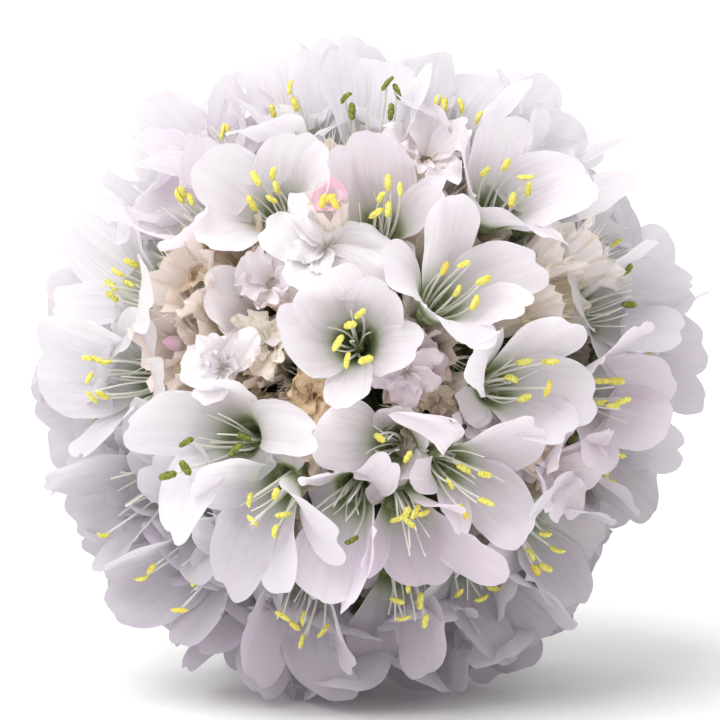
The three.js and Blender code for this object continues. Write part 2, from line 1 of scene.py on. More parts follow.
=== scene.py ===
import itertools
from math import atan2, cos, degrees, dist, hypot, inf, pi, radians, sin, sqrt, tan, tau
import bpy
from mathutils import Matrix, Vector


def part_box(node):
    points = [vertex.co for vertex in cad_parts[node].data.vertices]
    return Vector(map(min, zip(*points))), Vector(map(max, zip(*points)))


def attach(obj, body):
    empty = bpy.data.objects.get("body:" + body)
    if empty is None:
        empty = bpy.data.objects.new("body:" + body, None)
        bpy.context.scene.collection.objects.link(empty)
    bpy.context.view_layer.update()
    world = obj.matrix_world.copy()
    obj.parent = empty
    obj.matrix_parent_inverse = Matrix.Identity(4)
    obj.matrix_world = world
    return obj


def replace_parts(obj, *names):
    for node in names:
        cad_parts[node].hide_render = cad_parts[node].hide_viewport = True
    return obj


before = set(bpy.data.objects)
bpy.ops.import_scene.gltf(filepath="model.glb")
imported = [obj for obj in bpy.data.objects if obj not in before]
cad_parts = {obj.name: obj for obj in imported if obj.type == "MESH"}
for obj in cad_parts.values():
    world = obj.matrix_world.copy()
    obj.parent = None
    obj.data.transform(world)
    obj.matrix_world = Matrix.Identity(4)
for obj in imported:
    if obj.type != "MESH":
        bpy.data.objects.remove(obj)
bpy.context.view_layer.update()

from types import SimpleNamespace

import bpy
import numpy as np
from mathutils import Vector

# A white sea thrift. Every floret of the CAD model is replaced by one with thin, veined petals, and the
# receptacle by its papery calyces. Lengths are in mm from the head's centre until a mesh is made.
MM = 0.001
SEED = 2718
HEAD_FACE_UP = radians(8)
HEAD_CENTRE_HEIGHT = 15.2
LOWEST = 0.02  # above the surface

PETALS = 5
SECTOR = tau / PETALS
FUNNEL_DEPTH = 0.9
FUNNEL_RADIUS = 0.72
PETAL_LENGTH = 5.9
PETAL_HALF_WIDTH = 1.66
PETAL_FOOT = 0.5
PETAL_SHOULDER = 0.64  # share of its length at which a petal is widest
START_ANGLE = radians(27)
CLOSED_ANGLE = radians(4)
FLAT_ANGLE = radians(88)
SHORTEST = 0.86  # share of the full length
# How petals may be fitted to their tips in the photograph.
OPENINGS = np.linspace(0.1, 1.05, 20)[:, None, None]
LEANS = np.linspace(-0.6, 0.6, 25)[None, :, None]
STRETCHES = np.linspace(0.82, 1.16, 5)[None, None]
ROLLS = np.radians(np.arange(-36, 36, 9))
MISS_PIXELS = 7
OUT_OF_REACH = 55  # the cost of a petal's tip far from its place
NEAR_COST = 45  # of a closed petal on the near side, which would hide its stamens
WIDEST_TURN = radians(35)  # of a petal's tip away from the petal's direction
FRONT_COSINE = 0.55  # between a front floret's axis and the head's
NEAR_COSINE = 0.25  # between a near petal's direction and the head's axis
NEAR_OPENING = 1.0  # of the petals that a floret at the side turns towards the front
NEAR_SHARE = 0.6  # of the full length
HIDDEN_OPENING = 1.2  # of a front floret's petals that lie hidden
HIDDEN_START = radians(60)
HIDDEN_SHARE = 0.25
ANTHER_HEIGHT = 3.0
LOW_ANTHERS = 1.9  # where the photograph shows none
ANTHER_LENGTH = 0.8
ANTHER_HALF_WIDTH = 0.13
FILAMENT_RADIUS = 0.078
STYLE_RADIUS = 0.055

CORE_RADIUS = 6.1
CALYX_FOOT = 5.4
CALYX_FOOT_RADIUS = 0.5
CALYX_RIBS = 10
BARE_RADIUS = 0.98
HAIR_HALF_WIDTH = 0.026
RIM = 0.3  # from a calyx's tube to where its top shows
TUBE_SIDE = np.array([0.31, 0.77, 0.55])  # where the points of a tube's rings begin
THROAT_DEPTH = 1.25  # from a calyx's tube to the throat
SCALES = 270
SCALE_GAP = radians(8)  # round a floret's axis, where no scales stand
NECK_RADIUS = 1.9
STEM_TOP = 7.4  # behind the head's centre
STEM_RADIUS = 0.95
STEM_REACH = 126
STEM_SWAY = 4
STEM_END_HEIGHT = 0.88
STEM_BEND = 0.45
STEM_RIBS = 12
SHEATH_LENGTH = 13
SHEATH_TEETH = 1.6
SHEATH_RADIUS = 1.85
SHEATH_CORNER = radians(72)
# The rings of bracts: how many, the first one's bearing, reach, rise, half width and depth behind the centre.
BRACT_RINGS = [(6, 10, 7.8, 0.9, 2.7, 6.75), (7, 34, 6.6, 1.6, 2.3, 6.55), (8, 5, 5.4, 1.9, 2.0, 6.4)]

# Camera, light and photograph.
PICTURE = 720
HEAD_PIXEL = (370, 372)
HEAD_PIXELS = 335
HEAD_RADIUS = 16.0
CAMERA_DISTANCE = 220.0
SENSOR = 36
SUN_DIRECTION = (0.42, 0.42, -0.8)
SUN_POWER = 2.55
SUN_SOFTNESS = radians(55)
WORLD_POWER = 0.86
FLOOR_HALF = 4.0  # in metres

# Where petals' tips show in the photograph, measured in pixels, and where a petal is narrow or short,
# its shares of the full width and length.
TIPS = {
    "front": [
        (318, 277, 1.05, 0.84), (279, 335, 1.05, 0.88), (345, 407, 0.62, 0.84), (419, 348, 0.8, 0.8),
        (390, 292, 0.85, 0.8),
    ],
    "front_low": [
        (318, 434), (354, 461, 0.55, 0.6), (418, 430, 0.5, 0.5), (390, 414, 0.5, 0.5), (412, 468, 0.4, 0.45),
    ],
    "right_high": [(455, 203), (538, 264), (529, 312), (470, 341), (388, 264)],
    "top": [(372, 141), (443, 193, 0.8), (346, 165, 0.7)],
    "left_high": [(303, 137), (203, 168, 1, 0.9), (205, 246), (325, 160)],
    "right_upper": [(505, 120), (582, 176), (590, 200), (560, 236), (466, 135)],
    "left_low": [(127, 427), (218, 386, 1.0, 0.85), (316, 440, 0.75), (172, 542)],
    "low_left": [(198, 476), (233, 587), (284, 593), (339, 545)],
    "low": [(312, 487, 0.5), (394, 460, 0.6), (318, 600), (348, 608)],
    "low_right": [(428, 573, 1.0, 0.8), (372, 562, 0.75), (457, 507, 0.4, 0.8), (505, 575, 0.8)],
    "right_low": [(536, 422), (524, 538), (456, 510, 0.45, 0.8), (412, 472, 0.5, 0.5), (379, 403, 0.45)],
    "right": [(572, 322), (588, 402), (560, 428), (478, 357)],
    "top_back": [(340, 50), (378, 62), (425, 68)],
    "crown_left": [(268, 50), (304, 60), (242, 126)],
    "crown_right": [(440, 53), (500, 84), (412, 103)],
    "shoulder_left": [(148, 208), (188, 222), (212, 152)],
    "shoulder_left_back": [(235, 86), (196, 112), (148, 134), (122, 162)],
    "side_left_high": [(58, 303), (75, 222), (128, 206), (160, 320)],
    "side_left": [(38, 325), (38, 378), (78, 457), (156, 376, 0.8, 0.65)],
    "side_right": [(669, 383), (640, 326), (650, 418), (590, 465)],
    "side_right_high": [(683, 288), (650, 248), (665, 325)],
    "side_right_back": [(624, 200), (592, 184)],
    "shoulder_right": [(560, 150), (540, 112)],
    "edge_right": [(705, 350), (700, 400)],
    "edge_right_low": [(667, 452), (648, 505)],
    "low_right_back": [(606, 520), (572, 600, 1.15), (556, 487)],
    "foot_left": [(256, 683), (340, 702), (355, 668)],
    "foot": [(420, 670), (380, 643)],
    "foot_right": [(514, 632), (546, 640), (573, 626)],
    "low_left_back": [(104, 570), (110, 615), (175, 645)],
    "edge_left_low": [(75, 520), (50, 480)],
    "edge_left": [(40, 412), (50, 455)],
    "edge_left_high": [(84, 203), (102, 182), (60, 236)],
    "faded_left": [(208, 285, 1.1), (240, 320), (276, 322, 0.7), (288, 285, 0.6), (258, 258, 0.8)],
    "faded_right": [(376, 372), (437, 366), (405, 388), (400, 350, 0.8), (425, 352, 0.8)],
}
# Where anthers show, in pixels, with the angle in degrees at which they lie, where it is plain.
ANTHERS = {
    "front": [(360, 314, 40), (350, 325, 15), (338, 343, 60), (347, 360, 80), (366, 360, 20)],
    "right_high": [(444, 269, 65), (463, 265, 25), (483, 281, 25), (457, 292, 60), (475, 303, 62)],
    "top": [(388, 183, 90), (400, 190, 90), (380, 198, 60), (388, 210, 85), (376, 214, 35)],
    "left_high": [(256, 179, -60), (273, 174, 80), (277, 188, -70), (272, 200, -30), (252, 204, -60)],
    "right_upper": [(485, 172, 45), (506, 165, 60), (525, 178, 0), (528, 190, 80), (512, 200, 75)],
    "top_back": [(345, 98, 45), (352, 112, 90), (387, 84, 50), (397, 92, -70), (391, 112, 85)],
    "crown_left": [(290, 88, 80), (295, 105, -70), (273, 112, -75)],
    "crown_right": [(437, 102, 70), (444, 106, 80), (461, 106, -80), (478, 118, 65)],
    "shoulder_left": [(183, 193, -70), (191, 200, -65), (179, 198, -60), (198, 186, -60)],
    "shoulder_left_back": [(223, 133, 80), (228, 131, -70)],
    "side_left_high": [(135, 260, -25), (118, 273, -30), (130, 284, -25), (112, 285, -45), (113, 297, -40)],
    "side_left": [(91, 358, -5), (104, 362, -10), (90, 378, 60), (93, 398, -50), (103, 395, -30)],
    "left_low": [(187, 442, 30), (186, 468, -55), (236, 449, 45), (255, 440, -20), (141, 530, 15)],
    "low_left": [(250, 499, 80), (276, 494, 75), (253, 520, -45), (287, 516, 10), (275, 531, 80)],
    "front_low": [(380, 438, -35), (408, 457, 60)],
    "low": [(352, 540, 30)],
    "low_right": [(398, 518, 20), (409, 522, -40), (416, 508, 60), (424, 512, 20), (404, 505, 70)],
    "right_low": [(463, 468, -30), (484, 474, -10), (446, 485, -60), (485, 501, -20), (463, 511, -60)],
    "right": [(523, 362, 10), (549, 362, 0), (511, 378, -20), (548, 388, 70), (524, 398, 20)],
    "side_right": [(600, 381, 0), (615, 381, 0), (598, 403, 5), (612, 406, 0), (622, 401, 20)],
    "side_right_high": [(627, 270, 50), (628, 305, 0)],
    "side_right_back": [(615, 244, 40)],
    "edge_right_low": [(617, 455, -10), (600, 472, -15), (603, 489, -5)],
    "low_right_back": [(545, 534, 0), (556, 550, -20), (523, 560, -60), (545, 567, -25), (525, 580, -60)],
    "foot_left": [(283, 615, -30), (295, 625, -40), (303, 617, 80), (302, 640, 75), (324, 630, 50)],
    "foot": [(408, 585, 90), (397, 600, -15), (420, 600, 85), (403, 618, 10), (425, 620, 80)],
    "low_left_back": [(152, 568, 55), (140, 582, 15), (195, 580, 60), (178, 612, 0)],
    "edge_left_low": [(95, 540, 0)],
}
# Where the throats show, and how far a throat may lie from the middle of its CAD node.
THROATS = {
    "front": (357, 345), "right_high": (432, 310), "top": (380, 238), "left_high": (283, 222),
    "right_upper": (487, 218), "left_low": (250, 440), "low_left": (290, 478), "front_low": (400, 445),
    "low": (355, 487), "low_right": (400, 497), "right_low": (432, 462), "right": (487, 387),
    "faded_left": (264, 297), "faded_right": (411, 362),
}
THROAT_SHIFT = 1.2
MOUTH_HEIGHT = 3.5  # of the part of a floret that stays where the CAD node has it
# The head's outline at the lower right: degrees from the horizontal and pixels from the head's middle.
OUTLINE = [(-62, 329), (-53, 330), (-44, 299), (-35, 287), (-26, 307), (-17, 306), (-8, 299), (0, 335)]
GREEN_ANTHERS = {"top_back", "left_low", "low", "side_right_high"}
# How pink a floret is, where it isn't nearly white.
TINTS = {
    "top": 0.6, "low_right": 1.0, "low": 0.5, "foot": 0.55, "foot_left": 0.5, "low_left": 0.35,
    "side_right": 0.75, "shoulder_left": 0.7, "right_upper": 0.4, "crown_left": 0.35, "right_high": 0.35,
    "shoulder_left_back": 0.7, "front": 0.3, "right": 0.3, "right_low": 0.6, "edge_right": 0.5,
    "faded_right": 1.0, "faded_right_low": 0.7, "faded_left": 0.35,
}
PALE_TINT = 0.22
FADED_LENGTHS = {"faded_left": 3.5, "faded_right": 2.0, "faded_right_low": 2.3}

# Calyces without petals, as in the CAD model: tilt, bearing and top, and the spread of their papery limbs.
BARE_CALYCES = [
    (16, -160, 9.4, 0.8), (18, 178, 9.6, 0.8), (18, 92, 10.2, 1.2), (38, 104, 10.6, 1.6),
    (43, 147, 10.0, 1.4), (43, 168, 10.4, 1.6), (45, 25, 11.2, 2.0),
]
# Others, by the pixel where they show: distance from the centre, limb, lean to the front, how brown.
SEEN_CALYCES = [
    (420, 350, 9.6, 1.6, 0.0, 0.5), (543, 300, 11.6, 1.7, -0.4, 0.2), (548, 258, 12.2, 1.6, -0.4, 0.1),
    (582, 262, 12.6, 1.7, -0.4, 0.1), (212, 372, 10.6, 1.9, 0.0, 0.5), (192, 345, 11.6, 2.2, 0.0, 0.4),
    (416, 170, 12.2, 1.0, 0.0, 0.3), (196, 288, 12.2, 1.8, 0.0, 0.3), (428, 226, 10.8, 1.3, 0.0, 0.4),
    (244, 252, 11.4, 1.6, 0.0, 0.5), (488, 404, 9.6, 1.1, 0.0, 0.9), (333, 182, 12.4, 1.3, 0.0, 0.5),
    (414, 411, 9.4, 1.1, 0.0, 0.5),
]
# Shrivelled corollas: pixel, distance, length, opening, how brown.
SPENT = [
    (272, 347, 11.2, 1.65, 0.45, 0.25), (264, 364, 10.6, 1.1, 0.35, 0.3),
    (313, 396, 10.6, 1.5, 0.3, 0.7), (300, 402, 10.0, 1.0, 0.3, 0.5), (328, 408, 10.0, 1.1, 0.4, 0.85),
    (426, 414, 9.8, 1.5, 0.4, 0.35), (296, 280, 10.2, 1.6, 0.3, 0.5), (206, 262, 11.4, 1.8, 0.3, 0.5),
    (266, 408, 9.4, 0.9, 0.4, 0.5), (352, 290, 9.6, 1.4, 0.3, 0.5),
]
# Crumpled corollas that are still pink and white: pixel, distance, length, opening, tint.
CRUMPLED = [
    (272, 284, 12.4, 1.5, 0.3, 0.6), (426, 160, 13.2, 2.4, 0.35, 0.5), (484, 409, 10.4, 1.6, 0.4, 0.6),
    (548, 462, 13.0, 2.8, 0.5, 0.8), (462, 430, 10.6, 1.4, 0.5, 0.5),
]
# Corollas that the florets leave out: pixel, distance, length, tint, petals' tips in pixels. Some of their
# petals have a fold inside.
PLACED = [
    (326, 250, 13.0, 3.4, 0.0, [(306, 208), (270, 234, 0.8), (300, 278, 0.7), (386, 284), (392, 260, 0.7)]),
    (226, 368, 12.6, 2.4, 0.15, [(189, 362), (243, 334, 0.7), (204, 388, 0.8), (212, 348, 0.8)]),
    (406, 373, 11.4, 1.75, 0.95, [
        (374, 378, 0.8), (439, 363, 0.8), (436, 377, 0.7), (410, 390), (396, 362, 0.7),
    ]),
]
ROSETTE = (330, 201, 15.0)
ROSETTE_LENGTH = 0.95
ROSETTE_ANTHERS = [(323, 201, 70), (329, 198, 20), (334, 202, -60)]
BUDS = [(166, 342, 12.4, 0.36)]  # pixel, distance, size
FOLDS = 3
FOLD_TURN = radians(24)
# Where nothing stands between the calyces.
DARK_SPOTS = [(453, 384), (446, 398), (258, 326), (284, 384), (302, 374), (276, 398), (322, 412)]
DARK_REACH = radians(6)
# Small half-open corollas fill the gaps that the florets leave behind the front. Near these pixels they are
# shrivelled.
FULL_SPOTS = [(597, 502), (573, 477), (567, 529)]
SPOT_PIXELS = 15
GAP_TILTS = (50, 112)
WIDEST_GAP = radians(11.5)
# Painted shade: petals are made greyer towards the back, the foot and the right side of the head, where less
# light falls. Each row is a direction from the head's centre, from where to where along it this grows, in
# metres, and the grey.
PAINTED_SHADES = [
    ((-0.2, 0.42, -0.86), -0.006, 0.012, (0.69, 0.665, 0.70)),
    ((0.97, 0.0, -0.2), 0.005, 0.0125, (0.84, 0.83, 0.84)),
]
# The dark green near the core: the calyces' own green foot, with painted shade of the recess between them
# laid over it, on the calyces, the hairs and the chaff. Where it begins and is full, in metres from the
# centre, its strength and its colour.
GREEN_FOOT_AND_PAINTED_SHADE = (0.0102, 0.0082, 0.95, (0.05, 0.07, 0.018))

rng = np.random.default_rng(SEED)


def reseed(number):
    """Starts the chances anew, so that a change to one piece leaves the others as they are."""
    global rng
    rng = np.random.default_rng([SEED, number])


def spread(low, high):
    return rng.uniform(low, high)


def unit(a):
    a = np.asarray(a, float)
    return a / np.maximum(np.linalg.norm(a, axis=-1, keepdims=True), 1e-12)


low, high = (np.array(c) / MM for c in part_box("sheath"))
up_share, back_share = sin(HEAD_FACE_UP), cos(HEAD_FACE_UP)
CENTRE = np.array([
    (low[0] + high[0]) / 2,
    low[1] - STEM_TOP * back_share + SHEATH_RADIUS * sin(SHEATH_CORNER) * up_share,
    HEAD_CENTRE_HEIGHT,
])
FACE = np.array([0, -back_share, up_share])  # where the head looks
UP = np.array([0, up_share, back_share])
RIGHT = np.array([1.0, 0, 0])
FOCAL = HEAD_PIXELS * CAMERA_DISTANCE / HEAD_RADIUS  # in pixels
EYE = FACE * CAMERA_DISTANCE
GOLDEN_ANGLE = pi * (3 - sqrt(5))


def toward(first, second, angle):
    """The direction at an angle from the first towards the second."""
    return first * cos(angle) + second * sin(angle)


def head_direction(tilt, bearing):
    """The direction at a tilt from the head's axis, bearing 0 to the right and 90 up, in degrees."""
    return toward(FACE, toward(RIGHT, UP, radians(bearing)), radians(tilt))


def to_pixel(point):
    """Where the camera sees a point, in pixels of the photograph."""
    depth = CAMERA_DISTANCE - point @ FACE
    x = HEAD_PIXEL[0] + FOCAL * (point @ RIGHT) / depth
    y = HEAD_PIXEL[1] - FOCAL * (point @ UP) / depth
    return np.stack([x, y], -1)


def pixel_ray(x, y):
    return unit(-FACE + RIGHT * (x - HEAD_PIXEL[0]) / FOCAL + UP * (HEAD_PIXEL[1] - y) / FOCAL)


def at_pixel(x, y, radius):
    """The point of the near side of a sphere round the head's centre that shows at a pixel."""
    ray = pixel_ray(x, y)
    middle = -(EYE @ ray)
    off = np.sum((EYE + ray * middle) ** 2)
    return EYE + ray * (middle - sqrt(max(radius**2 - off, 0)))


def at_plane(x, y, point, normal):
    """The point of a plane that shows at a pixel."""
    ray = pixel_ray(x, y)
    return EYE + ray * (((point - EYE) @ normal) / (ray @ normal))


def across_axes(axis):
    helper = UP if abs(axis @ RIGHT) > 0.9 else RIGHT
    first = unit(np.cross(axis, helper))
    return first, np.cross(axis, first)


def five_directions(axis, start=0.0):
    first, second = across_axes(axis)
    return [toward(first, second, start + SECTOR * k) for k in range(PETALS)]


# Meshes.


def around(count):
    return np.linspace(0, tau, count, endpoint=False)


def steps(count):
    """A column of numbers from 0 to 1."""
    return np.linspace(0, 1, count)[:, None]


def by_row(values):
    """Numbers for a grid's points, given one for each row or one for each point."""
    values = np.asarray(values, float)
    return (values if values.ndim == 2 else values[:, None])[..., None]


def add_object(name, data):
    made = bpy.data.objects.new(name, data)
    bpy.context.scene.collection.objects.link(made)
    return made


class Sheets:
    """Gathers sheets of points into one mesh. A point's place is how far along and across its sheet it lies,
    and the sheet's chance."""

    def __init__(self):
        self.points, self.places, self.faces, self.slots = [], [], [], []
        self.count = 0

    def grid(self, points, along, across, chance, slot=0, closed=False):
        rows, cols = points.shape[:2]
        ends = cols if closed else cols - 1
        corners = (0, 0), (0, 1), (1, 1), (1, 0)
        self.faces += [
            tuple(self.count + (r + i) * cols + (c + j) % cols for i, j in corners)
            for r in range(rows - 1)
            for c in range(ends)
        ]
        self.slots += [slot] * ((rows - 1) * ends)
        self.points.append(points.reshape(-1, 3))
        places = np.broadcast_arrays(along, across, chance, np.zeros((rows, cols)))[:3]
        self.places.append(np.stack(places, -1).reshape(-1, 3))
        self.count += rows * cols

    def build(self, name, materials, slot):
        """Makes the object. Points below the surface are laid on it."""
        mesh = bpy.data.meshes.new(name)
        points = np.concatenate(self.points) + CENTRE
        points[:, 2] = np.maximum(points[:, 2], LOWEST)
        mesh.from_pydata((points * MM).tolist(), [], self.faces)
        place = mesh.attributes.new("place", "FLOAT_VECTOR", "POINT")
        place.data.foreach_set("vector", np.concatenate(self.places).astype(np.float32).ravel())
        for material in materials:
            mesh.materials.append(material)
        mesh.polygons.foreach_set("material_index", np.array(self.slots, np.int32))
        mesh.polygons.foreach_set("use_smooth", np.ones(len(self.faces), bool))
        mesh.update()
        piece = add_object(name, mesh)
        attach(piece, "root")
        return piece


def rings(sheets, middles, first, second, radii, sides, chance, slot):
    """A closed surface of rings round their middles, in the plane of two directions."""
    turn = around(sides)
    ring = first * np.cos(turn)[None, :, None] + second * np.sin(turn)[None, :, None]
    points = middles + ring * by_row(radii)
    sheets.grid(points, steps(len(points)), turn / tau, chance, slot, closed=True)


def tube(sheets, path, radii, sides, chance, slot=0):
    tangents = unit(np.gradient(path, axis=0))
    first = unit(np.cross(tangents, TUBE_SIDE))
    second = np.cross(tangents, first)
    rings(sheets, path[:, None], first[:, None], second[:, None], radii, sides, chance, slot)


def revolve(sheets, foot, axis, radii, heights, sides, chance, slot=0):
    """A surface round an axis, with a radius and a height for each row, or for each point."""
    rings(sheets, foot + axis * by_row(heights), *across_axes(axis), radii, sides, chance, slot)


# Petals.


def petal_line(petal, s):
    """A petal's middle line: distance from the floret's axis, height over the throat, and angle."""
    turn = CLOSED_ANGLE + petal.opening * (FLAT_ANGLE - CLOSED_ANGLE) - petal.start
    turn = np.where(np.abs(turn) < 1e-3, 1e-3, turn)
    angle = petal.start + turn * s
    across = petal.funnel + petal.length / turn * (cos(petal.start) - np.cos(angle))
    return across, petal.length / turn * (np.sin(angle) - sin(petal.start)), angle


def petal_points(petal, s, v):
    """Points of a petal: s along it from 0 to 1 and v across it from -1 to 1."""
    length = petal.length
    across, up, angle = petal_line(petal, s)
    t = np.minimum(s / PETAL_SHOULDER, 1)
    half = PETAL_FOOT * (1 - t) + petal.half_width * np.sin(t * pi / 2) ** 1.15
    radius = np.maximum((across + petal.flattening * s * s) * (1 - 0.8 * petal.folded * s), 0.03)
    bow = np.clip(v * half / radius, -2.4, 2.4)
    lifted = radius * (1 - np.cos(bow)) + petal.overlap * v * np.sin(pi * np.minimum(s / 0.9, 1))
    lifted = lifted + petal.twist * v * half * s
    lifted = lifted - petal.curl * length * np.maximum(s - 0.5, 0) ** 2
    aside = radius * np.sin(bow) + petal.lean * length * s * s
    shape = np.broadcast(lifted, aside).shape + (1,)
    parts = [up + lifted * np.sin(angle), across - lifted * np.cos(angle), aside]
    parts = [np.broadcast_to(part, shape[:-1]).reshape(shape) for part in parts]
    return petal.throat + petal.axis * parts[0] + petal.along * parts[1] + petal.across * parts[2]


def make_petal(axis, throat, along, tint, **shape):
    petal = SimpleNamespace(
        axis=axis, throat=throat, along=along, across=np.cross(axis, along), tint=tint,
        opening=0.66 + spread(-0.08, 0.08), length=PETAL_LENGTH * spread(0.94, 1.06),
        half_width=PETAL_HALF_WIDTH * spread(0.92, 1.08), flattening=spread(4, 8), overlap=0.2,
        twist=spread(-0.12, 0.12), curl=spread(-0.05, 0.4), lean=spread(-0.05, 0.05),
        notch=0.07 * rng.random() ** 2, ruffle=spread(0.08, 0.17), folded=0.0, matched=False,
        phases=rng.random(6), start=START_ANGLE, funnel=FUNNEL_RADIUS,
    )
    vars(petal).update(shape)
    return petal


def petal_sheet(sheets, petal, rows=30, cols=25, slot=0):
    t = np.linspace(-1, 1, cols)
    v = np.sin(t * pi / 2)[None, :]
    p = petal.phases
    reach = PETAL_SHOULDER + (1 - PETAL_SHOULDER) * (1 - np.abs(v) ** 2.4).clip(0) ** (1 / 2.4)
    reach = reach * (1 - petal.notch * np.exp(-(((v - 0.2 * (p[5] - 0.5)) / 0.2) ** 2)))
    reach = reach * (1 - 0.008 * np.sin(6 * v + 6 * p[0]) - 0.003 * np.sin(15 * v + 6 * p[1]))
    s = np.linspace(0, 1, rows)[:, None] * reach
    v = np.broadcast_to(v, s.shape)
    points = petal_points(petal, s, v)
    du, dv = np.gradient(points, axis=0), np.gradient(points, axis=1)
    normal = unit(np.cross(dv, du))
    edge = np.abs(v) ** 1.7 * np.clip(s * 1.6 - 0.3, 0, 1)
    waves = petal.ruffle * edge * np.sin(tau * (1.9 * s + p[1]) + 2 * np.sign(v) * p[2])
    waves += 0.6 * petal.ruffle * s * np.sin(tau * (1.1 * s + p[2])) * np.cos(2.4 * v + 6 * p[3])
    waves += 0.35 * petal.ruffle * s * np.sin(5.5 * v + 6 * p[4])
    waves += 0.012 * np.sin(pi * s) * np.cos(19 * v + 6 * p[0])
    waves -= 0.07 * s * np.exp(-((v / 0.1) ** 2))
    sheets.grid(points + normal * waves[..., None], s, v, petal.tint, slot)


def open_as_built(petal, points):
    """Opens a petal as far as the CAD model's, which slips past its neighbours."""
    rays = points - petal.throat
    out = rays @ petal.along
    wedge = (out > 0.5) & (np.abs(rays @ petal.across) < out * tan(SECTOR / 2))
    rays = rays[wedge]
    tip = rays[np.argsort(-np.linalg.norm(rays, axis=1))[:4]].mean(0)
    trial = turned(petal, 0)
    trial.opening = np.linspace(0.05, 1.05, 51)[:, None]
    trial.length = np.linspace(0.6, 1.1, 26)[None] * PETAL_LENGTH
    across, up, _ = petal_line(trial, 1.0)
    miss = np.hypot(across - tip @ petal.along, up - tip @ petal.axis)
    i, j = np.unravel_index(np.argmin(miss), miss.shape)
    petal.opening = trial.opening[i, 0]
    petal.length = max(trial.length[0, j], SHORTEST * PETAL_LENGTH)


def keep_in_outline(petal):
    """Shortens a petal whose tip would show outside the outline, and tells whether it did."""
    for step in range(10):
        x, y = to_pixel(petal_points(petal, 1.0, 0.0)) - HEAD_PIXEL
        angle = -degrees(atan2(y, x))
        if not OUTLINE[0][0] < angle < 0 or hypot(x, y) < np.interp(angle, *zip(*OUTLINE)):
            break
        petal.length *= 0.94
    return step > 0


def turned(petal, angle):
    """A copy of a petal, turned round its floret's axis."""
    copy = SimpleNamespace(**vars(petal))
    copy.along = toward(petal.along, petal.across, angle)
    copy.across = np.cross(petal.axis, copy.along)
    return copy


def nearest_reach(petal, x, y, _, share):
    """How a petal brings its tip nearest to a pixel: at what cost, and with what opening, lean and length."""
    near = NEAR_COST * max(0.0, petal.along @ FACE) * (1.05 - OPENINGS)
    strain = ((OPENINGS - petal.opening) / 0.3) ** 2 + (LEANS / 0.2) ** 2 + ((STRETCHES - 1) / 0.1) ** 2
    strain = strain + near
    way = at_plane(x, y, petal.throat + 2 * petal.axis, petal.axis) - petal.throat
    turn = atan2(way @ petal.across, way @ petal.along)
    full = share * (max(PETAL_LENGTH, petal.length) if petal.length > 0.8 * PETAL_LENGTH else petal.length)
    petal.opening, petal.lean, petal.length = OPENINGS, LEANS, full * STRETCHES
    miss = np.sum((to_pixel(petal_points(petal, 1.0, 0.0)) - (x, y)) ** 2, -1)
    cost = miss / MISS_PIXELS**2 + strain + (turn / WIDEST_TURN) ** 2
    i, j, k = np.unravel_index(np.argmin(cost), cost.shape)
    return min(cost[i, j, k], OUT_OF_REACH), OPENINGS[i, 0, 0], LEANS[0, j, 0], full * STRETCHES[0, 0, k]


def fit_to_tips(petals, tips):
    """Turns a floret, and opens, leans and stretches its petals, so that their tips show at these pixels.
    Each tip goes to its nearest petal, and a tip that no petal reaches is left out."""
    tips = [(*tip, 1.0, 1.0)[:4] for tip in tips]
    best_cost, best = inf, None
    for roll in ROLLS:
        choices = [[nearest_reach(turned(petal, roll), *tip) for tip in tips] for petal in petals]
        for order in itertools.permutations(range(len(petals)), len(tips)):
            total = sum(choices[p][t][0] for t, p in enumerate(order))
            if total < best_cost:
                best_cost, best = total, (roll, order, [choices[p][t] for t, p in enumerate(order)])
    roll, order, reaches = best
    petals[:] = [turned(petal, roll) for petal in petals]
    for p, (cost, opening, lean, length), tip in zip(order, reaches, tips):
        if cost < OUT_OF_REACH:
            petal = petals[p]
            petal.opening, petal.lean, petal.length, petal.matched = opening, lean, length, True
            petal.half_width *= tip[2]


# Florets.


def read_floret(name):
    """A floret's points, axis, throat and petals' directions, from the flat base of its CAD node."""
    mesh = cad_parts[name].data
    points = np.array([v.co for v in mesh.vertices]) / MM - CENTRE
    points = np.unique(points.round(3), axis=0)
    base = points[np.argsort(np.linalg.norm(points, axis=1))[:PETALS]]
    middle = base.mean(0)
    axis = unit(middle)
    first = unit(base[0] - middle)
    first = unit(first - axis * (first @ axis))
    second = np.cross(axis, first)
    directions = [toward(first, second, SECTOR * (k + 0.5)) for k in range(PETALS)]
    return points, axis, middle + axis * FUNNEL_DEPTH, directions


def hide(petal, length):
    """Folds a petal up short, where the photograph shows none."""
    petal.opening, petal.start, petal.length = HIDDEN_OPENING, HIDDEN_START, HIDDEN_SHARE * length
    petal.half_width *= 0.6


def make_floret(name):
    short = name.removeprefix("floret_")
    faded = short.startswith("faded")
    points, axis, throat, directions = read_floret(name)
    tint = TINTS.get(short, PALE_TINT * (0.5 + rng.random()))
    if short in THROATS:
        mouth = throat + axis * MOUTH_HEIGHT
        shift = at_plane(*THROATS[short], throat, axis) - throat
        throat = throat + shift * min(1, THROAT_SHIFT / np.linalg.norm(shift))
        axis = unit(mouth - throat)
        directions = [unit(along - axis * (along @ axis)) for along in directions]
    shape = {}
    if faded:
        length = FADED_LENGTHS[short]
        shape = dict(opening=0.6, length=length, half_width=0.4 * length, ruffle=0.22, curl=0.6, funnel=0.3)
    petals = [make_petal(axis, throat, along, tint, **shape) for along in directions]
    if not faded:
        for petal in petals:
            open_as_built(petal, points)
    if short in TIPS:
        fit_to_tips(petals, TIPS[short])
        for petal in petals:
            if faded or petal.matched:
                continue
            if axis @ FACE > FRONT_COSINE:
                hide(petal, PETAL_LENGTH)
            elif petal.along @ FACE > NEAR_COSINE:
                petal.opening, petal.length = NEAR_OPENING, NEAR_SHARE * PETAL_LENGTH
    shortened = [keep_in_outline(petal) for petal in petals if not petal.matched]
    low = any(shortened) or (short in TIPS and short not in ANTHERS)
    return SimpleNamespace(
        name=name, short=short, faded=faded, axis=axis, throat=throat, petals=petals, low=low,
    )


